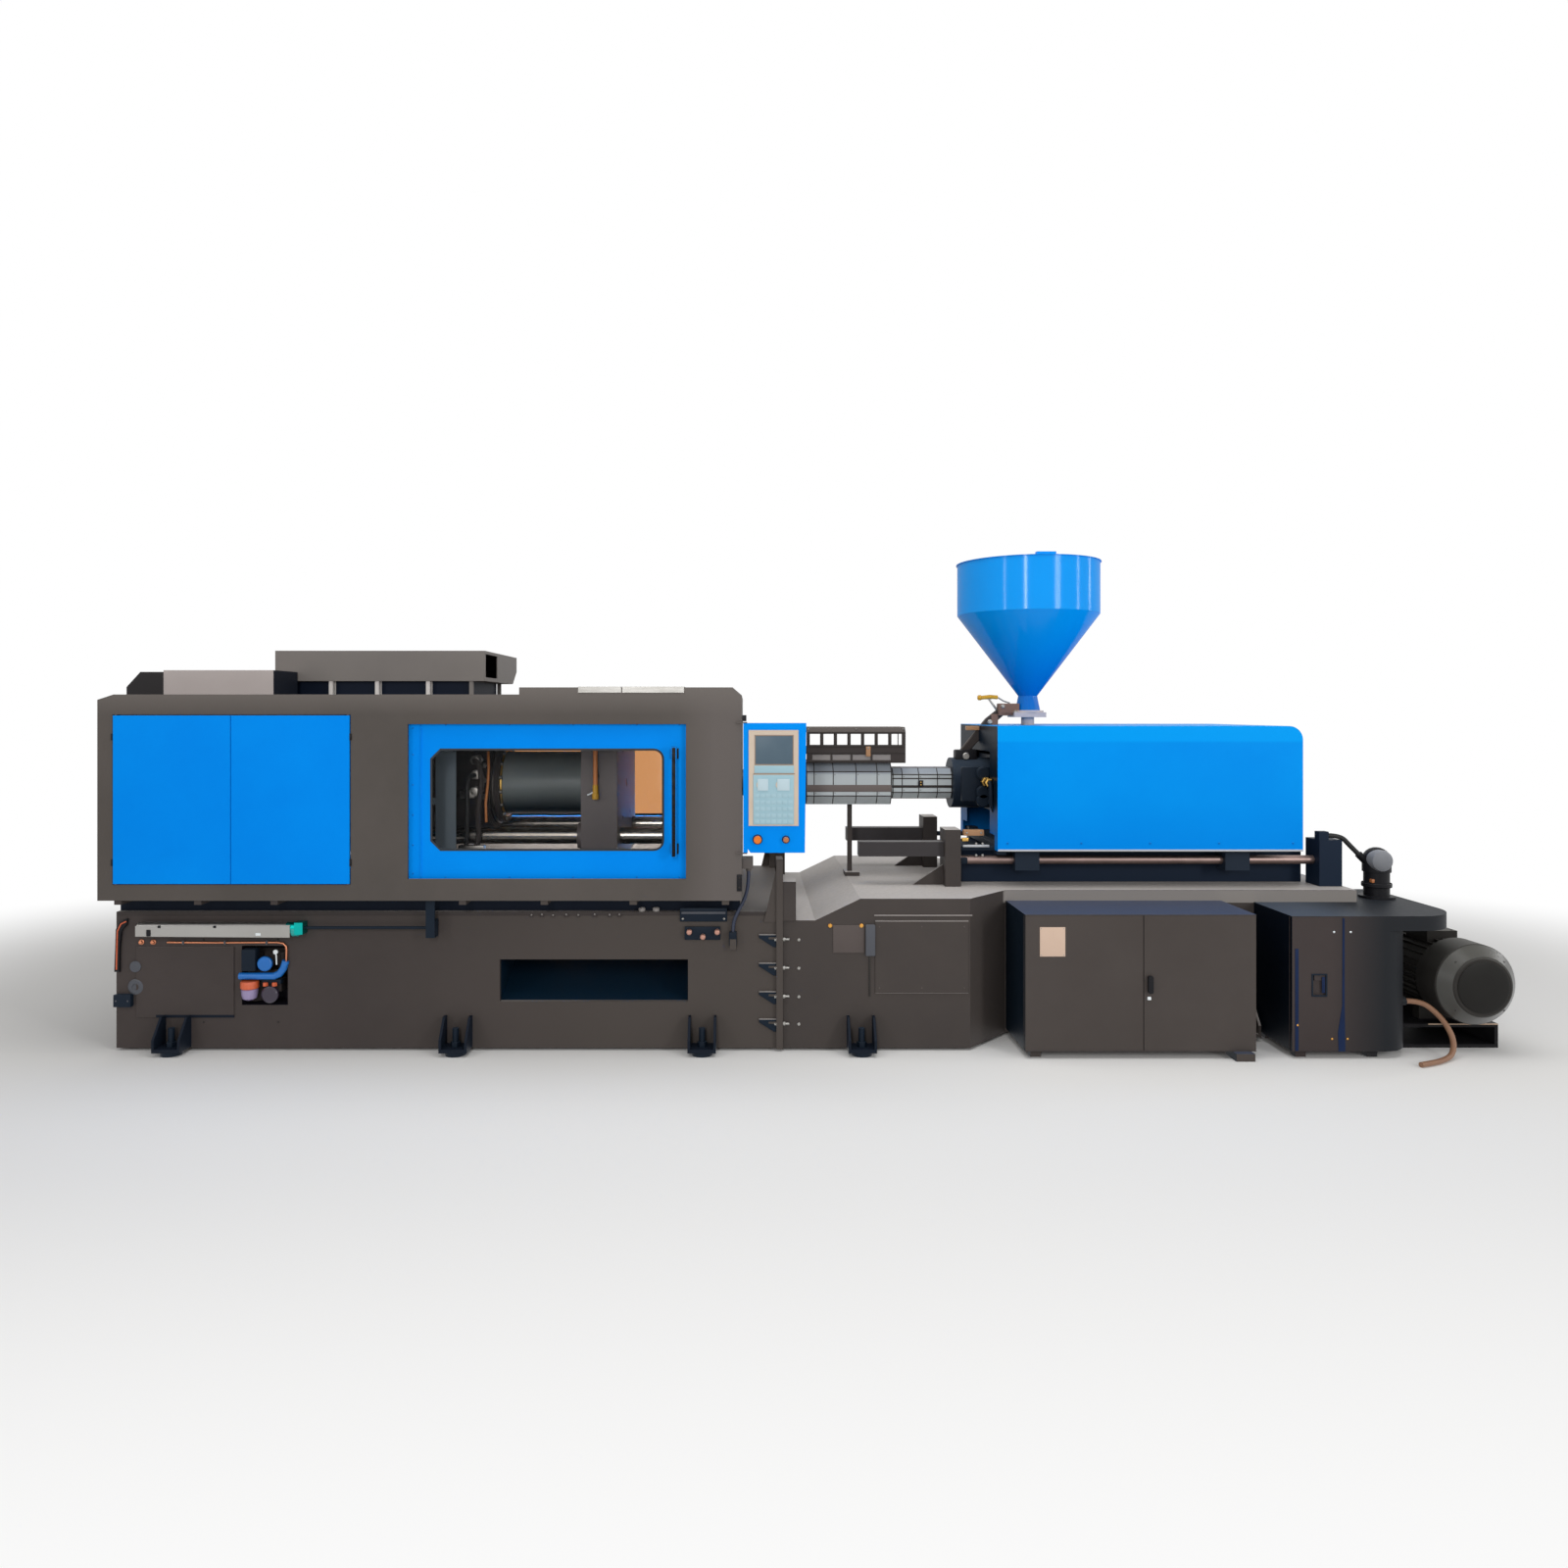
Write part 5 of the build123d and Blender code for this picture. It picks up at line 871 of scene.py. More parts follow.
# Hoses and a rigid pipe from the ports down to the valve plate behind the inner panel
clampPipes = {
    "wideHose": [(-2060, -392, 1648), (-2050, -420, 1646), (-2030, -436, 1630), (-2012, -440, 1590),
                 (-2004, -440, 1520), (-2016, -436, 1440), (-2030, -430, 1330), (-2024, -430, 1200),
                 (-2040, -420, 1110)],
    "blackHose": [(-2060, -380, 1556), (-2078, -412, 1552), (-2092, -424, 1530), (-2098, -428, 1490),
                  (-2096, -428, 1330), (-2100, -428, 1140), (-2120, -410, 1080)],
    "thinPipe": [(-1990, -330, 1700), (-1984, -352, 1660), (-1980, -360, 1600), (-1984, -366, 1500),
                 (-1996, -372, 1380), (-1992, -372, 1260)],
    "plate": ((-2150, -1990), (-440, -390), (1072, 1122)),
}


def buildCylinderPipes(work):
    addPipe(work, clampPipes["wideHose"], 17, 14, 0)
    addPipe(work, clampPipes["blackHose"], 13, 14, 2)
    addPipe(work, clampPipes["thinPipe"], 8, 12, 3)
    addBlock(work, *clampPipes["plate"], 6, 1)


newPiece("cylinderPipes", "machine", [machinePaint, turnedSteel, blackRubber, rustHose],
         buildCylinderPipes)

# Moving platen: bolts of the ram's flange, and a hose down the operator side with its yellow end fitting, a
# pale lever and the clips that hold it
platenFittings = {
    "rearX": -1376,
    "boltCircle": 232,
    "bolts": 10,
    "hose": [(-1282, -556, 1500), (-1282, -556, 1700), (-1281, -552, 1780), (-1278, -536, 1850),
             (-1276, -500, 1900)],
    "fitting": (-1282, -556, 1508),
    "lever": [(-1296, -560, 1462), (-1316, -566, 1450), (-1330, -566, 1446)],
    "clipX": (-1302, -1262),
    "clipY": (-545, -520),
    "clipZ": (1560, 1740),
}


def buildMovingPlaten(work):
    for y, z in aroundCircle((0, clampZ), platenFittings["boltCircle"], platenFittings["bolts"], 18):
        addSocketScrew(work, (platenFittings["rearX"], y, z), toLeft, 12, 12, 0)
    addPipe(work, platenFittings["hose"], 14, 16, 3)
    fitting = [(14, 0), (17, 4), (17, 50), (21, 54), (21, 86), (15, 91), (0, 91)]
    addLathe(work, platenFittings["fitting"], down, fitting, 20, 4)
    addPipe(work, platenFittings["lever"], 5, 10, 2)
    for z in platenFittings["clipZ"]:
        addBlock(work, platenFittings["clipX"], platenFittings["clipY"], (z - 9, z + 9), 2, 1)


newPiece("movingPlatenFittings", "clamp",
         [blackScrew, machinePaint, whiteKey, rustHose, yellowPlastic], buildMovingPlaten)

# Collars of the four tie bars on the inner faces of the two standing platens, with their screws
tieBarCollar = {
    "y": (-350, 350),
    "z": (clampZ - 310, clampZ + 310),
    "leftX": -2416,
    "rightX": -806,
    "screwCircle": 64,
    "screws": 6,
    "thick": 8,
}


def buildTieBarCollars(work):
    profile = [(74, 0), (74, 6), (70, 8), (54, 8), (53, 2)]
    circle, count = tieBarCollar["screwCircle"], tieBarCollar["screws"]
    for y in tieBarCollar["y"]:
        for z in tieBarCollar["z"]:
            for x, inwards in ((tieBarCollar["leftX"], toRight), (tieBarCollar["rightX"], toLeft)):
                addLathe(work, (x, y, z), inwards, profile, 48, 0)
                screwX = x + tieBarCollar["thick"] * inwards[0]
                for screwY, screwZ in aroundCircle((y, z), circle, count, 30):
                    addSocketScrew(work, (screwX, screwY, screwZ), inwards, 4.5, 5, 1)


newPiece("tieBarCollars", "machine", [turnedSteel, blackScrew], buildTieBarCollars)
print("clamp dressed")

# Barrel guards: dark hoops and rails over pale sheet; a band is its low and high share of the flat's half
largeGuard = {
    "x": (27, 582),
    "half": 136,
    "hoops": (27, 75, 199, 348, 484, 576),
    "bands": [(-0.66, -0.09, 1)],
}
smallGuard = {
    "x": (589, 982),
    "half": 100,
    "hoops": (592, 652, 760, 882, 976),
    "bands": [(-0.5, -0.2, 0), (0.48, 0.62, 0)],
}
guardShape = {
    "cut": 0.42,
    "flat": 0.58,
    "hoopWidth": 6,
    "hoopProud": 0.2,
    "bandThick": 1.6,
    "screwFromHoop": 14,
}


# Octagon round the barrel's axis, as (y, z) pairs from the bottom's front corner round by the rear
def octagon(half):
    cut = half * guardShape["cut"]
    places = [(-half + cut, -half), (half - cut, -half), (half, -half + cut), (half, half - cut),
              (half - cut, half), (-half + cut, half), (-half, half - cut), (-half, -half + cut)]
    return [(y, clampZ + height) for y, height in places]


def buildBarrelGuard(guard):
    def build(work):
        half = guard["half"]
        flat = half * guardShape["flat"]
        x0, x1 = guard["x"]
        outer, inner = octagon(half + guardShape["hoopProud"]), octagon(half - 1)
        for x in guard["hoops"]:
            addRing(work, "X", outer, inner, x, x + guardShape["hoopWidth"], 0)
        # Rails along the corners: wide dark ones on the upright sides, slim ones of another finish elsewhere
        for place, (y, z) in enumerate(octagon(half)):
            size, finish = (3.4, 0) if place in (2, 3, 6, 7) else (2.0, 3)
            addBlock(work, (x0, x1), (y - size, y + size), (z - size, z + size), 1.4, finish)
        for low, high, finish in guard["bands"]:
            for side in (-1, 1):
                y = half * side
                y0, y1 = sorted((y, y + guardShape["bandThick"] * side))
                addBlock(work, (x0 + 1, x1 - 1), (y0, y1), (clampZ + flat * low, clampZ + flat * high), 0.5,
                         finish)
        for x in guard["hoops"][1:-1]:
            for height in (-flat * 0.75, flat * 0.75):
                for side in (-1, 1):
                    place = (x + guardShape["screwFromHoop"], half * side, clampZ + height)
                    addButtonScrew(work, place, (0, side, 0), 4, 2)
    return build


newPiece("largeGuardFrame", "carriage", [guardFrame, guardBrown, zincSheet, guardSheet],
         buildBarrelGuard(largeGuard))
newPiece("smallGuardFrame", "carriage", [guardFrame, guardBrown, zincSheet, guardBrown],
         buildBarrelGuard(smallGuard))

# Upper barrel guard: four pale plates, the dark grid of its openings with two double lips, a hanging strap
topGuard = {
    "plates": 4,
    "firstPlate": 61,
    "platePitch": 130,
    "plateWidth": 126,
    "plateY": (-155, -152),
    "plateZ": (1632, 1681),
    "bars": 8,
    "firstBar": 38,
    "barPitch": 88,
    "barY": (-163, -160),
    "barZ": (1732, 1814),
    "lipX": (30, 666),
    "upperLips": (1729, 1817),
    "lowerLips": (1628, 1686),
    "strap": ((411, 441), (-168, -163), (1662, 1727)),
    "strapScrew": (426, -168, 1716),
    "topScrewX": (40, 350, 655),
    "topScrewY": (-148, 148),
    "topZ": 1838,
}


def buildTopGuard(work):
    for index in range(topGuard["plates"]):
        x = topGuard["firstPlate"] + index * topGuard["platePitch"]
        addBlock(work, (x, x + topGuard["plateWidth"]), topGuard["plateY"], topGuard["plateZ"], 0.8, 0)
    for index in range(topGuard["bars"]):
        x = topGuard["firstBar"] + index * topGuard["barPitch"]
        addBlock(work, (x - 8, x + 8), topGuard["barY"], topGuard["barZ"], 0.8, 1)
    for z in topGuard["upperLips"]:
        addBlock(work, topGuard["lipX"], (-164, -160), (z - 5, z + 5), 1.2, 1)
    for z in topGuard["lowerLips"]:
        addBlock(work, topGuard["lipX"], (-163, -160), (z - 4, z + 4), 1.0, 1)
    addBlock(work, *topGuard["strap"], 2, 2)
    addButtonScrew(work, topGuard["strapScrew"], toFront, 6, 3)
    for x in topGuard["topScrewX"]:
        for y in topGuard["topScrewY"]:
            addButtonScrew(work, (x, y, topGuard["topZ"]), upwards, 6, 3)


newPiece("topGuardGrid", "carriage", [panelGrey, guardFrame, tanPaint, zincSheet],
         buildTopGuard)

# Barrel: clamp collar left of the guard, terminal boxes of the heater bands, and the end cap's screws
barrelFittings = {"collarX": -16, "terminals": (-425, -275, -125, 775), "terminalY": (-112, -86),
                  "capX": -530, "capCircle": 110, "capScrews": 8}


def buildBarrelFront(work):
    collar = [(88, 0), (118, 0), (122, 6), (122, 36), (118, 42), (96, 42)]
    addLathe(work, (barrelFittings["collarX"], 0, clampZ), toRight, collar, 48, 0)
    for x in barrelFittings["terminals"]:
        addBlock(work, (x - 16, x + 16), barrelFittings["terminalY"], (clampZ - 20, clampZ + 20), 3, 1)
        for z in (clampZ + 8, clampZ - 8):
            addHexBolt(work, (x, barrelFittings["terminalY"][0], z), toFront, 8, 5, 2, washer=False)
    for y, z in aroundCircle((0, clampZ), barrelFittings["capCircle"], barrelFittings["capScrews"], 22.5):
        addSocketScrew(work, (barrelFittings["capX"], y, z), toRight, 9, 10, 3)


newPiece("barrelFittings", "carriage", [bracketBrown, blackNylon, brassFitting, blackScrew],
         buildBarrelFront)
print("barrel dressed")

# Flange between the two bases: at each bolt a head and nut, its stud, and a rib with a pale top edge
flange = {"boltX": -152, "nutX": -190, "y": -911, "boltZ": (644, 480, 316, 158)}


def buildFlangeBolts(work):
    x, y = flange["nutX"], flange["y"]
    for z in flange["boltZ"]:
        addHexBolt(work, (flange["boltX"], y, z), toRight, 19, 12, 0)
        addLathe(work, (-138, y, z), toRight, [(7, 0), (7, 22), (0, 22)], 16, 0)
        addHexBolt(work, (x, y, z), toLeft, 19, 10, 0)
        addHexBolt(work, (-60, baseFront, z - 6), toFront, 13, 5, 0)
        rib = [(x, z + 26), (x - 100, z + 22), (x - 100, z + 8), (x - 16, z - 46), (x, z - 46)]
        addOutline(work, "Y", rib, baseFront - 12, baseFront, 2, 1)
        addBlock(work, (x - 100, x - 1), (baseFront - 13, baseFront), (z + 23, z + 28), 1, 2)


newPiece("flangeBolts", "machine", [zincSheet, rodHeadNavy, studGrey], buildFlangeBolts)

# Access cover on the injection base: plate, rail above it and two pale edge strips
accessCover = {"x": (380, 917), "z": (333, 748), "railGap": 28, "railHeight": 7}


def buildAccessCover(work):
    y = baseFront
    x0, x1 = accessCover["x"]
    z0, z1 = accessCover["z"]
    rail = z1 + accessCover["railGap"]
    addBlock(work, (x0, x1), (y - 5, y), (z0, z1), 1.5, 0)
    addBlock(work, (x0 - 6, x1 + 22), (y - 7, y), (rail, rail + accessCover["railHeight"]), 1.2, 1)
    addBlock(work, (x0, x1), (y - 7, y - 4), (z1 - 4, z1 + 1), 1.0, 1)
    addBlock(work, (x0, x1), (y - 6, y - 4), (z0 - 2, z0 + 1.5), 0.8, 1)
    for x in (x0 + 24, (x0 + x1) / 2, x1 - 24):
        for z in (z0 + 28, z1 - 34):
            addButtonScrew(work, (x, y - 5, z), toFront, 5, 0)


newPiece("injectionAccessCover", "machine", [accessPaint, paleEdge], buildAccessCover)

# Left of the cover: grey block with a line hanging from it, and a bare plate under two yellow screws
baseFittings = {
    "block": ((323, 379), 22, (548, 728)),
    "line": ((342, 352), 5, (312, 548)),
    "plate": ((137, 318), 4, (564, 723)),
    "screwX": (120, 301),
    "screwZ": 720,
}


def buildBaseFittings(work):
    for finish, (name, edge) in enumerate((("block", 7), ("line", 1.5), ("plate", 1.5))):
        x, proud, z = baseFittings[name]
        addBlock(work, x, (baseFront - proud, baseFront), z, edge, finish)
    for x in baseFittings["screwX"]:
        addHexBolt(work, (x, baseFront - 3, baseFittings["screwZ"]), toFront, 17, 7, 3)


newPiece("injectionBaseFittings", "machine",
         [slatePaint, blackScrew, accessPaint, yellowZinc], buildBaseFittings)

# Dark manifold plate with three round connectors, the plate above it under the gate, and a side block
manifold = {
    "plate": ((-718, -512), (-914, -900), (640, 716)),
    "connectors": [(-690, 690), (-612, 662), (-530, 690)],
    "upperPlate": ((-745, -473), (-914, -896), (745, 824)),
    "slot": ((-736, -482), (-918, -913), (790, 803)),
    "screwX": (-728, -490),
    "sideBlock": ((-462, -418), (-940, -900), (610, 690)),
}


def buildManifold(work):
    connector = [(15, 0), (15, 10), (12, 13), (12, 22), (15, 24), (15, 34), (9, 38), (0, 38)]
    addBlock(work, *manifold["plate"], 4, 0)
    for x, z in manifold["connectors"]:
        addLathe(work, (x, -912, z), toFront, connector, 28, 1)
    addBlock(work, *manifold["upperPlate"], 5, 0)
    addBlock(work, *manifold["slot"], 1.5, 3)
    for x in manifold["screwX"]:
        addButtonScrew(work, (x, -914, 762), toFront, 7, 2)
    addBlock(work, *manifold["sideBlock"], 6, 0)


newPiece("cornerManifold", "machine", [navyPaint, pinkBronze, zincSheet, slatePaint],
         buildManifold)

# Low grease fittings along the drip edge under the gate, at uneven steps, and two taller caps
greaseFittings = {
    "places": ((-1600, 9), (-1540, 12), (-1476, 8), (-1400, 12), (-1330, 9), (-1236, 13), (-1150, 10),
               (-1094, 12)),
    "footZ": 770,
    "caps": (-966, -884),
}


def buildGreaseFittings(work):
    foot = greaseFittings["footZ"]
    for x, size in greaseFittings["places"]:
        addBlock(work, (x - size, x + size), (-909, -898), (foot, foot + size), 2, 0)
        addLathe(work, (x, -904, foot + size), upwards, [(5, 0), (5, 5), (3, 8), (0, 8)], 12, 1)
    for x in greaseFittings["caps"]:
        addLathe(work, (x, -880, 790), upwards, [(17, 0), (20, 6), (20, 26), (16, 31), (0, 31)], 24, 1)


newPiece("ledgeFittings", "machine", [machinePaint, studGrey], buildGreaseFittings)

# Swing arm of the hopper's seat: cranked lever, four blocks, a yellow elbow with its thin line, and bolts
hopperArm = {
    "lever": [(1088, 1668), (1040, 1690), (1216, 1905), (1340, 2004), (1378, 1965), (1262, 1866)],
    "leverY": (-34, 2),
    "blocks": [((1010, 1153), (-60, 20), (1616, 1702), 12, 1), ((1088, 1250), (-46, 6), (1830, 1857), 4, 2),
               ((1295, 1432), (-58, 4), (1926, 2006), 6, 3), ((1251, 1296), (-40, 0), (1856, 1936), 5, 3)],
    "elbow": [(1185, -44, 2044), (1240, -44, 2050), (1290, -44, 2046)],
    "line": [(1290, -44, 2046), (1330, -44, 2022), (1372, -44, 2008)],
    "bolts": [((1322, -58, 1988), 19, 8), ((1404, -58, 1948), 19, 8), ((1244, -34, 1885), 24, 10)],
    "pivot": (1080, -60, 1660),
}


def buildHopperArm(work):
    addOutline(work, "Y", hopperArm["lever"], *hopperArm["leverY"], 6, 0)
    for block in hopperArm["blocks"]:
        addBlock(work, *block)
    addPipe(work, hopperArm["elbow"], 13, 16, 4)
    addLathe(work, hopperArm["elbow"][0], toLeft, [(13, 0), (17, 4), (17, 20), (12, 26), (0, 26)], 20, 4)
    addPipe(work, hopperArm["line"], 5, 10, 5)
    for place, across, head in hopperArm["bolts"]:
        addHexBolt(work, place, toFront, across, head, 5)
    addLathe(work, hopperArm["pivot"], toFront, [(24, 0), (24, 8), (19, 12), (0, 12)], 28, 5)


newPiece("hopperArm", "carriage",
         [machinePaint, blackNylon, tanPaint, bracketBrown, yellowPlastic, zincSheet], buildHopperArm)

# Slide unit: scraper strip, oil line, bolts and end blocks of the slide cylinders
slideUnit = {
    "scraper": ((984, 1112), (-446, -402), (1183, 1219)),
    "scraperScrews": [(1004, -446, 1201), (1092, -446, 1201)],
    "oilLine": [(978, -452, 1121), (1000, -452, 1121), (1140, -452, 1121)],
    "bolts": [(1060, -452, 1136), (1100, -452, 1064), (1060, -452, 1064), (1100, -452, 1136)],
    "union": ((972, 1012), (-458, -436), (1150, 1172)),
    "endBlock": ((964, 1004), (-470, -442), (1012, 1050)),
}


def buildSlideFittings(work):
    addBlock(work, *slideUnit["scraper"], 6, 0)
    for place in slideUnit["scraperScrews"]:
        addSocketScrew(work, place, toFront, 6, 5, 4)
    addPipe(work, slideUnit["oilLine"], 8, 12, 1)
    for place in slideUnit["bolts"]:
        addHexBolt(work, place, toFront, 13, 6, 4, washer=False)
    addBlock(work, *slideUnit["union"], 4, 3)
    addBlock(work, *slideUnit["endBlock"], 5, 2)


newPiece("slideFittings", "carriage", [tanPaint, paleTrim, navyPaint, brassFitting, zincSheet],
         buildSlideFittings)

# Throat under the hopper: oil union, its line, three caps and the block behind them
throat = {
    "union": (1150, -300, 1510),
    "line": [(1150, -420, 1510), (1150, -436, 1506), (1152, -440, 1490), (1156, -440, 1380),
             (1180, -420, 1330), (1240, -380, 1310)],
    "capX": 1140,
    "capY": -270,
    "capZ": (1390, 1440, 1560),
    "block": ((1010, 1190), (-262, -226), (1380, 1600)),
}


def buildThroatFittings(work):
    union = [(30, 0), (30, 40), (24, 44), (24, 90), (28, 92), (28, 122), (18, 128)]
    addLathe(work, throat["union"], toFront, union, 6, 0)
    addPipe(work, throat["line"], 13, 14, 1)
    for z in throat["capZ"]:
        cap = [(40, 0), (44, 8), (44, 26), (36, 32), (0, 32)]
        addLathe(work, (throat["capX"], throat["capY"], z), toFront, cap, 24, 1)
    addBlock(work, *throat["block"], 10, 1)


newPiece("throatFittings", "carriage", [brassFitting, navyPaint], buildThroatFittings)

# Blue cover: a pale strip along each lower edge as the edge's painted highlight, and its quarter-turn fixings
cover = {"edgeHighlightX": (1172, 3030), "edgeHighlightZ": (1100, 1112), "frontEdgeHighlightY": (-553, -549), "rearEdgeHighlightY": (549, 553),
         "fixings": (1230, 1680, 2100, 2520, 2970), "fixingZ": 1150, "halfWidth": 550}


def buildCoverEdgeHighlight(work):
    for highlightY in (cover["frontEdgeHighlightY"], cover["rearEdgeHighlightY"]):
        addBlock(work, cover["edgeHighlightX"], highlightY, cover["edgeHighlightZ"], 1.2, 0)
    for x in cover["fixings"]:
        for side in (-1, 1):
            addButtonScrew(work, (x, cover["halfWidth"] * side, cover["fixingZ"]), (0, side, 0), 7, 1)


newPiece("coverEdgeHighlight", "carriage", [paleTrim, blueScrew], buildCoverEdgeHighlight)
print("injection unit dressed")

# Front of the clamp base: silver bar with two ticks, an index and a teal end, and a copper lubricant line
scaleBar = {
    "stop": ((-3776, -3752), (-982, -974), (674, 712)),
    "ticks": (-3704, -3388),
    "index": ((-3156, -3126), (-980, -975), (678, 694)),
    "bar": [(-3842, 672), (-2962, 666), (-2962, 738), (-3842, 733)],
    "barY": (-976, -972),
    "end": (-2960, -940, 702),
}
copperLine = {
    "y": -911,
    "route": [(-3694, 626), (-3400, 624), (-3060, 626), (-3026, 620), (-3010, 602), (-3008, 580),
              (-3010, 498)],
    "radius": 6,
    "clips": (-3600, -3360, -3120),
    "clip": ((-920, -902), (615, 636)),
    "stubs": (-3846, -3778),
    "strip": ((-3818, -3540), (-905, -900), (571, 577)),
}


def buildBaseLines(work):
    addBlock(work, *scaleBar["stop"], 5, 0)
    for x in scaleBar["ticks"]:
        addBlock(work, (x - 8, x + 8), (-980, -974), (722, 736), 1.5, 0)
    addBlock(work, *scaleBar["index"], 3, 1)
    addOutline(work, "Y", scaleBar["bar"], *scaleBar["barY"], 1.5, 5)
    addLathe(work, scaleBar["end"], toRight, [(0, 0), (31, 0), (34, 3), (34, 34), (24, 46), (0, 46)], 32, 2)
    addPipe(work, [(x, copperLine["y"], z) for x, z in copperLine["route"]], copperLine["radius"], 12, 3)
    for x in copperLine["clips"]:
        addRing(work, "X", rectangle(*copperLine["clip"]), rectangle(*copperLine["clip"], 3), x - 5, x + 5, 4)
    for x in copperLine["stubs"]:
        stub = [(15, 0), (15, 5), (10, 8), (10, 19), (6, 21), (0, 21)]
        addLathe(work, (x, baseFront, 626), toFront, stub, 24, 3)
    addBlock(work, *copperLine["strip"], 1.2, 4)


newPiece("clampBaseLines", "machine",
         [blackNylon, whiteKey, tealCap, copperPipe, slatePaint, silverProfile], buildBaseLines)

# Items in the service recess: pump block, lubricator's head and pipe, small cap and its line, bowl with its
# orange top, two caps and a dark bowl on their bracket
recess = {
    "y": -876,
    "pump": ((-3262, -3180), (462, 588)),
    "pipe": [(-3278, 432), (-3150, 432), (-3080, 432), (-3048, 446), (-3026, 476), (-3012, 520)],
    "line": [(-3066, -920, 573), (-3062, -922, 548), (-3060, -922, 500)],
    "bowl": (-3222, -906, 360),
    "caps": (-3128, -3076),
    "bracket": ((-3150, -3044), (384, 410)),
}


def buildServiceRecess(work):
    y = recess["y"]
    x, z = recess["pump"]
    addBlock(work, x, (y - 52, y + 10), z, 8, 0)
    head = [(40, 0), (42, 6), (42, 20), (36, 26), (14, 28), (0, 28)]
    addLathe(work, (-3128, y - 30, 505), toFront, head, 36, 1)
    addLathe(work, (-3066, y - 40, 573), toFront, [(13, 0), (13, 10), (8, 12), (0, 12)], 24, 2)
    addPipe(work, recess["line"], 4, 10, 2)
    addPipe(work, [(x, y - 34, z) for x, z in recess["pipe"]], 20, 18, 1)
    addLathe(work, recess["bowl"], upwards, [(44, 0), (50, 5), (50, 36), (46, 44), (0, 44)], 36, 3)
    bowl = [(42, 0), (46, 4), (45, 34), (38, 56), (20, 66), (0, 68)]
    addLathe(work, recess["bowl"], down, bowl, 36, 4)
    for x in recess["caps"]:
        addLathe(work, (x, y - 38, 376), upwards, [(15, 0), (15, 16), (12, 20), (0, 20)], 6, 3)
    addLathe(work, (-3096, y - 34, 330), toFront, [(44, 0), (48, 5), (48, 22), (40, 28), (0, 28)], 36, 5)
    x, z = recess["bracket"]
    addBlock(work, x, (y - 30, y + 10), z, 4, 0)


newPiece("serviceRecessItems", "machine",
         [navyPaint, bluePipe, whiteKey, orangeCap, purpleBowl, darkBowl], buildServiceRecess)

# Left end: bracket round the hole with its orange edge, two round plugs and the box below
leftEnd = {
    "bracket": [(-3999, 456), (-3990, 700), (-3968, 744), (-3930, 762), (-3920, 762), (-3925, 724),
                (-3946, 712), (-3960, 690), (-3966, 600), (-3966, 456)],
    "edge": [(-3984, 470), (-3978, 690), (-3958, 732), (-3926, 748)],
    "plugX": -3878,
    "proud": 16,
    "box": ((-3992, -3892), (-936, -900), (258, 330)),
    "boxScrews": [(-3976, -936, 294), (-3908, -936, 294)],
}


def buildLeftEnd(work):
    y, x = baseFront, leftEnd["plugX"]
    addOutline(work, "Y", leftEnd["bracket"], y - leftEnd["proud"], y, 4, 0)
    addPipe(work, [(edgeX, y - leftEnd["proud"], z) for edgeX, z in leftEnd["edge"]], 4, 10, 1)
    addLathe(work, (x, y, 368), toFront, [(46, 0), (46, 6), (38, 12), (20, 12), (18, 7), (0, 7)], 36, 2)
    addLathe(work, (x, y - 12, 486), toFront, [(30, -12), (32, -6), (32, 0), (0, 0)], 36, 2)
    addBlock(work, *leftEnd["box"], 5, 3)
    for place in leftEnd["boxScrews"]:
        addButtonScrew(work, place, toFront, 5, 2)


newPiece("leftEndBracket", "machine", [blackNylon, orangeCap, slatePaint, navyPaint],
         buildLeftEnd)

# Rolled drip edge along the top of the base's front, and the screws of the recess frame
baseStrips = {
    "edge": ((-3985, -160), (-903, -898), (778, 800)),
    "screwX": (-3490, -3060),
    "screwZ": (164, 640),
}


def buildBaseStrips(work):
    addBlock(work, *baseStrips["edge"], 1.5, 0)
    for x in baseStrips["screwX"]:
        for z in baseStrips["screwZ"]:
            addButtonScrew(work, (x, baseFront, z), toFront, 6, 1)


newPiece("clampBaseStrips", "machine", [machinePaint, blackScrew], buildBaseStrips)
print("bases dressed")

# Electric cabinet: bare label plate with its four screws, and the white tip beside the handle
label = {"x": (1287, 1430), "z": (577, 742), "thick": 2, "screwX": (1295, 1422), "screwZ": (585, 734)}
handleTip = ((1890, 1910), (-1060, -1050), (334, 352))


def buildCabinetLabel(work):
    y = cabinetFront - label["thick"]
    addBlock(work, label["x"], (y, cabinetFront), label["z"], 0.6, 0)
    for x in label["screwX"]:
        for z in label["screwZ"]:
            addButtonScrew(work, (x, y, z), toFront, 3, 1)


def buildHandleTip(work):
    addBlock(work, *handleTip, 3, 0)


newPiece("cabinetLabel", "cabinet_door_left", [labelPlate, zincSheet], buildCabinetLabel)
newPiece("cabinetHandleTip", "cabinet_door_right", [whiteKey], buildHandleTip)

# Pump cabinet: on its door the navy edge strip, the latch pocket's frame and screws, and beside the door the
# seam's filler; white screws stand above the height given, yellow ones below
pumpDoor = {
    "edge": ((2721, 2741), (-1052, -1050), (47, 621)),
    "screws": [(2940, 715), (2929, 114), (2736, 191)],
    "pocket": ((2814, 2902), (352, 480)),
    "pocketRim": 8,
    "latch": ((2872, 2890), (-1051.5, -1049), (372, 462)),
    "whiteAbove": 700,
}
pumpSeam = {
    "filler": [(2966, 43), (3004, 43), (3000, 300), (3000, 792), (2988, 792), (2986, 300), (2962, 150)],
    "proud": 1.5,
    "screws": [(3034, 715), (3017, 114)],
}


def addPumpScrews(work, places, y):
    for x, z in places:
        addButtonScrew(work, (x, y, z), toFront, 6, 1 if z > pumpDoor["whiteAbove"] else 2)


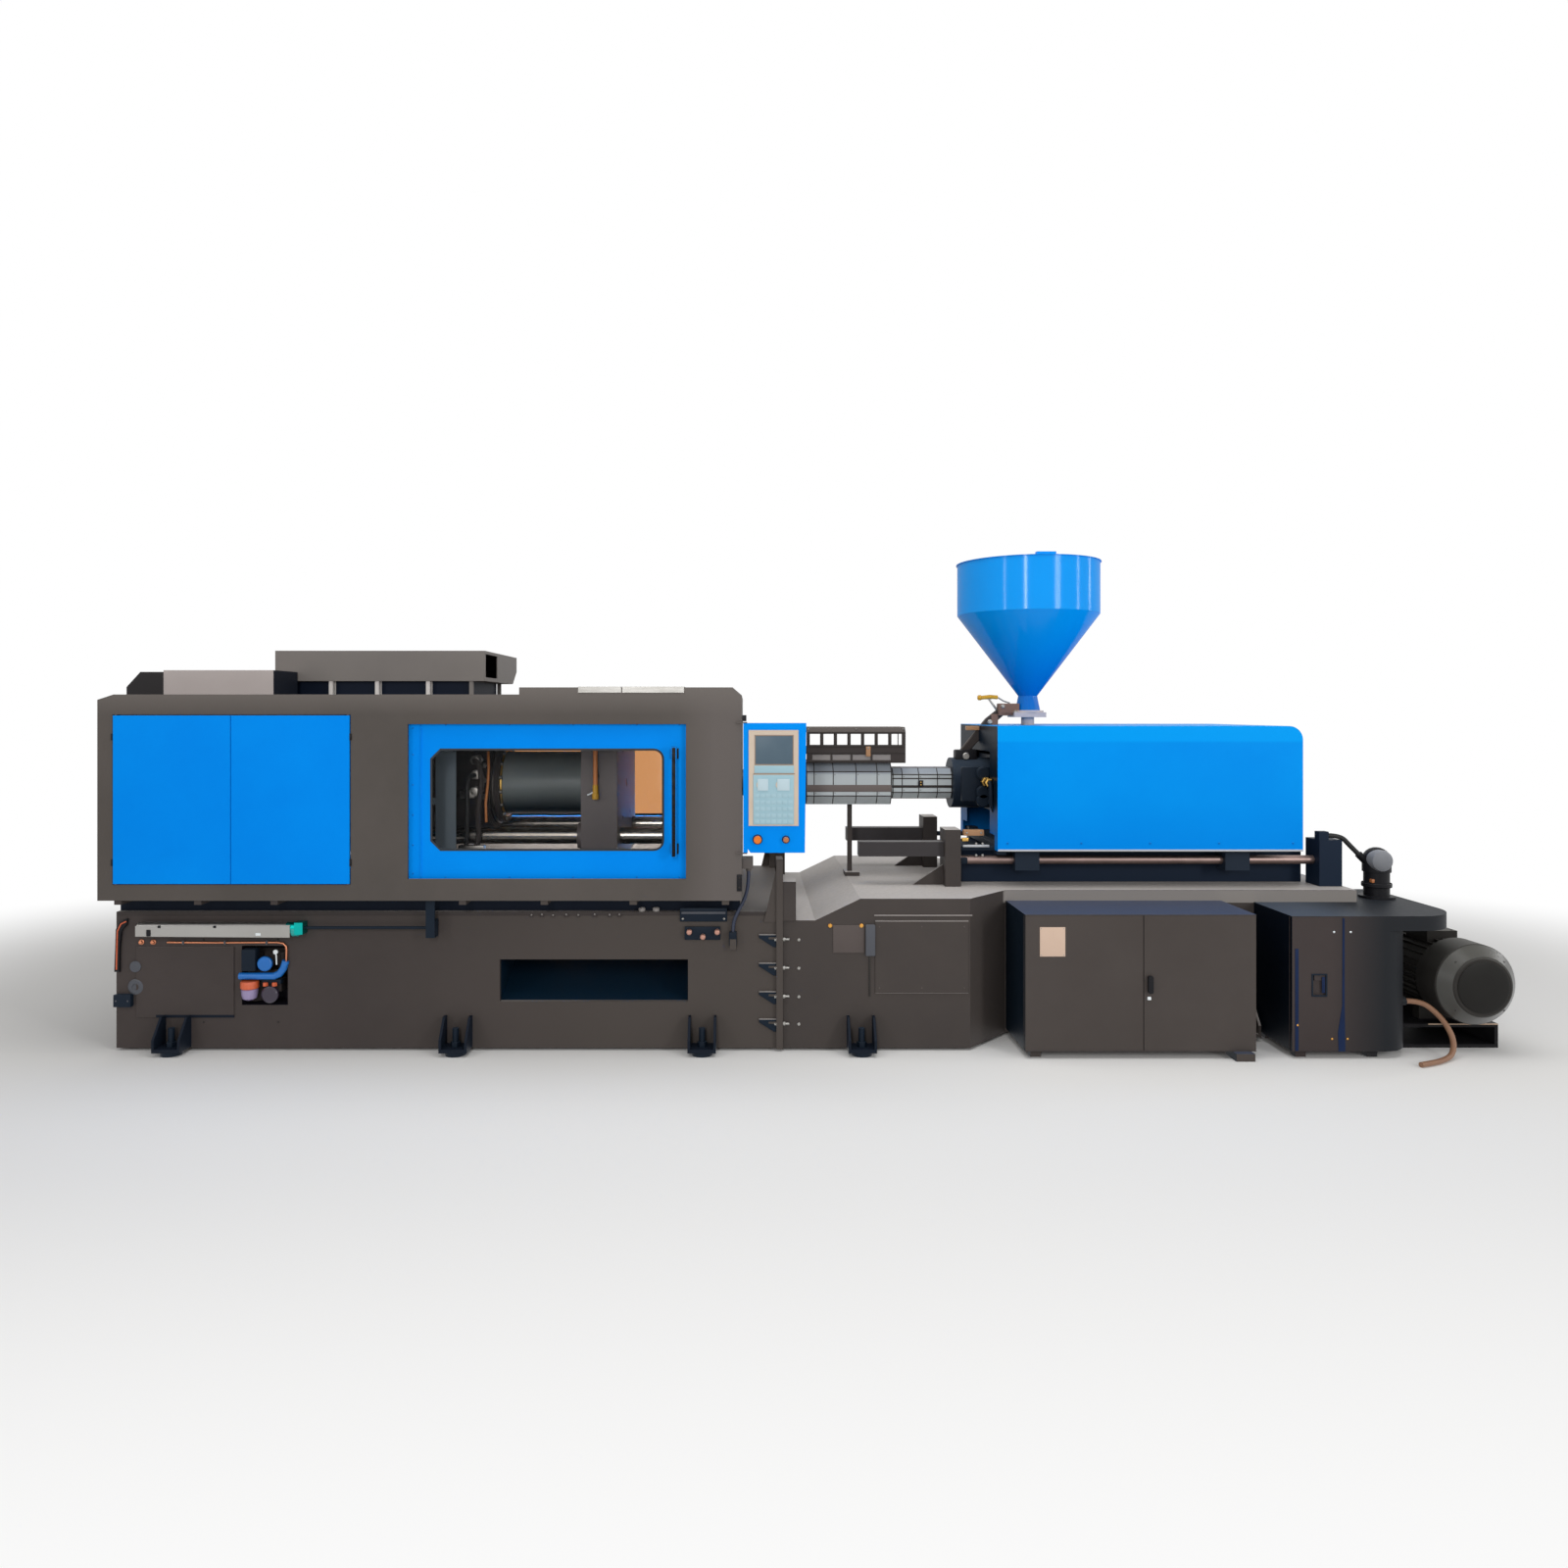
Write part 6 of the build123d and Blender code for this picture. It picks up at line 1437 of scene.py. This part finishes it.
def buildPumpDoor(work):
    addBlock(work, *pumpDoor["edge"], 1, 0)
    addPumpScrews(work, pumpDoor["screws"], cabinetFront - 1)
    addRing(work, "Y", rectangle(*pumpDoor["pocket"]), rectangle(*pumpDoor["pocket"], pumpDoor["pocketRim"]),
            cabinetFront - 2.5, cabinetFront, 3)
    addBlock(work, *pumpDoor["latch"], 1, 0)


def buildPumpSeam(work):
    addOutline(work, "Y", pumpSeam["filler"], cabinetFront - pumpSeam["proud"], cabinetFront, 0.5, 0)
    addPumpScrews(work, pumpSeam["screws"], cabinetFront)


newPiece("pumpDoorDetails", "pump_cabinet_door",
         [navyBlueEdge, whiteKey, yellowZinc, navyPaint], buildPumpDoor)
newPiece("pumpSeamDetails", "machine", [navyBlueEdge, whiteKey, yellowZinc], buildPumpSeam)

# Drive motor: pressed disc and rim on the cowl's end, cowl screws, foot bolts, terminal box screws, the
# lifting eye and the pale front edge of the frame below
motor = {
    "x": 3781,
    "z": 402,
    "frontY": -1050,
    "cowlScrewCircle": 192,
    "footX": 168,
    "footY": (-760, -430),
    "footTop": 168,
    "boxX": 70,
    "boxY": (-680, -520),
    "boxTop": 246,
    "eyeY": (-447, -433),
    "eye": ((-26, 26), (226, 278)),
    "eyeBar": 11,
    "frameEdge": ((3600, 4004), (-853, -846), (134, 141)),
}


def buildMotorDetails(work):
    x, z, y = motor["x"], motor["z"], motor["frontY"]
    addLathe(work, (x, y - 1, z), toFront, [(0, 0), (146, 0), (146, 3), (132, 8), (60, 11), (0, 12)], 64, 0)
    addLathe(work, (x, y + 70, z), toFront, [(222, 6), (226, 6), (172, 62), (168, 62)], 72, 1)
    for screwX, screwZ in aroundCircle((x, z), motor["cowlScrewCircle"], 4, 45):
        addButtonScrew(work, (screwX, y + 30, screwZ), toFront, 6, 2)
    for side in (-1, 1):
        for footY in motor["footY"]:
            addHexBolt(work, (x + side * motor["footX"], footY, motor["footTop"]), upwards, 19, 9, 2)
    for side in (-1, 1):
        for boxY in motor["boxY"]:
            addButtonScrew(work, (x + side * motor["boxX"], boxY, z + motor["boxTop"]), upwards, 6, 2)
    addLathe(work, (x, -440, z + 200), upwards, [(16, 0), (16, 12), (10, 16), (10, 30), (0, 30)], 24, 2)
    eyeX, eyeZ = motor["eye"]
    eyeX, eyeZ = (x + eyeX[0], x + eyeX[1]), (z + eyeZ[0], z + eyeZ[1])
    addRing(work, "Y", rectangle(eyeX, eyeZ), rectangle(eyeX, eyeZ, motor["eyeBar"]), *motor["eyeY"], 2)
    addBlock(work, *motor["frameEdge"], 1.5, 3)


newPiece("driveMotorDetails", "machine", [cowlDisc, cowlRim, blackScrew, edgeTan],
         buildMotorDetails)

# Return filter: pressed cap in front, the bowl's upper ring and a small brown plug
filterDetails = {"cap": (3528, -523, 1038), "ring": (3540, -450, 870),
                 "plug": ((3474, 3492), (-512, -486), (902, 924))}


def buildFilterDetails(work):
    cap = [(64, -60), (66, 0), (62, 12), (46, 22), (24, 27), (0, 28)]
    addLathe(work, filterDetails["cap"], toFront, cap, 48, 0)
    addLathe(work, filterDetails["ring"], upwards, [(81, 0), (84, 4), (84, 22), (81, 26)], 48, 1)
    addBlock(work, *filterDetails["plug"], 3, 2)


newPiece("returnFilterDetails", "machine", [paleDisc, blackNylon, brownAbs],
         buildFilterDetails)
print("cabinets dressed")


# A free cord's line: an open spline whose control points are those of its tube in the frame
def cordLine(name, route, radius, finish):
    curve = bpy.data.curves.new(name, "CURVE")
    curve.dimensions = "3D"
    spline = curve.splines.new("NURBS")
    spline.points.add(len(route) - 1)
    for point, place in zip(spline.points, route):
        point.co = (*place, 1.0)
    spline.order_u = 3
    spline.use_endpoint_u = True
    spline.resolution_u = 16
    curve.bevel_depth = radius
    curve.bevel_resolution = 8
    curve.use_fill_caps = True
    curve.materials.append(finish)
    return curve


drainHose = {
    "route": [(3.4, -0.95, 0.3), (3.49, -0.95, 0.3), (3.572, -0.964, 0.238), (3.632, -0.975, 0.158),
              (3.646, -1.006, 0.082), (3.6, -1.058, 0.024), (3.512, -1.116, 0.015), (3.424, -1.16, 0.015),
              (3.34, -1.19, 0.015)],
    "radius": 0.015,
    "length": 0.75,
}
drainLine = cordLine("drainHoseRun", drainHose["route"], drainHose["radius"], brownHoseRubber)
drainPiece = linkPiece("drainHoseRun", drainLine, "machine")
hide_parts("drain_hose")

panelCable = {
    "route": [(-0.35, -0.95, 1.045), (-0.35, -0.95, 0.965), (-0.372, -0.944, 0.88), (-0.42, -0.928, 0.79),
              (-0.439, -0.922, 0.735), (-0.439, -0.922, 0.69)],
    "radius": 0.01,
    "length": 0.373,
}
cableLine = cordLine("panelCableRun", panelCable["route"], panelCable["radius"], cablePvc)
cablePiece = linkPiece("panelCableRun", cableLine, "machine")
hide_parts("panel_cable")

suctionHose = {
    "route": [(3.23, -0.45, 1.186), (3.316, -0.45, 1.186), (3.372, -0.45, 1.126), (3.428, -0.45, 1.07)],
    "radius": 0.015,
    "length": 0.245,
    "ribPitch": 0.0062,
    "ribShape": (1.0, 0.97, 0.87, 0.97),
    "sides": 24,
}
# Corrugated hose: rings whose radius rises and falls, strung along the points of the route's own spline
followed = cordLine("suctionHoseLine", suctionHose["route"], 0.0, blackRubber)
followedObject = bpy.data.objects.new("suctionHoseLine", followed)
lineMesh = bpy.data.meshes.new_from_object(followedObject)
hosePath = [Vector(vertex.co) for vertex in lineMesh.vertices]
bpy.data.meshes.remove(lineMesh)
bpy.data.objects.remove(followedObject)
bpy.data.curves.remove(followed)
print("hose line points:", len(hosePath))


# Places evenly along a line of points, each with its heading
def placesAlong(path, pitch):
    places = []
    travelled, wanted = 0.0, 0.0
    for before, after in zip(path, path[1:]):
        run = (after - before).length
        while run > 0 and wanted <= travelled + run:
            places.append((before.lerp(after, (wanted - travelled) / run), (after - before).normalized()))
            wanted += pitch
        travelled += run
    places.append((path[-1], (path[-1] - path[-2]).normalized()))
    return places


hoseWork = bmesh.new()
hoseRings = []
across = Vector((0, 1, 0))
hoseAngles = [2 * math.pi * k / suctionHose["sides"] for k in range(suctionHose["sides"])]
ribShape = suctionHose["ribShape"]
for index, (place, heading) in enumerate(placesAlong(hosePath, suctionHose["ribPitch"] / len(ribShape))):
    across = (across - heading * across.dot(heading)).normalized()
    other = heading.cross(across)
    radius = suctionHose["radius"] * ribShape[index % len(ribShape)]
    hoseRings.append([hoseWork.verts.new(place + (across * math.cos(a) + other * math.sin(a)) * radius)
                      for a in hoseAngles])
for low, high in zip(hoseRings, hoseRings[1:]):
    for k in range(suctionHose["sides"]):
        following = (k + 1) % suctionHose["sides"]
        hoseWork.faces.new([low[k], low[following], high[following], high[k]])
hoseWork.faces.new(hoseRings[0])
hoseWork.faces.new(hoseRings[-1])
bmesh.ops.recalc_face_normals(hoseWork, faces=hoseWork.faces)
hoseMesh = bpy.data.meshes.new("suctionHoseTube")
hoseWork.to_mesh(hoseMesh)
hoseWork.free()
hoseMesh.materials.append(blackRubber)
hoseMesh.polygons.foreach_set("use_smooth", [True] * len(hoseMesh.polygons))
hosePiece = linkPiece("suctionHoseTube", hoseMesh, "machine")
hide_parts("suction_hose")
print("cords laid")
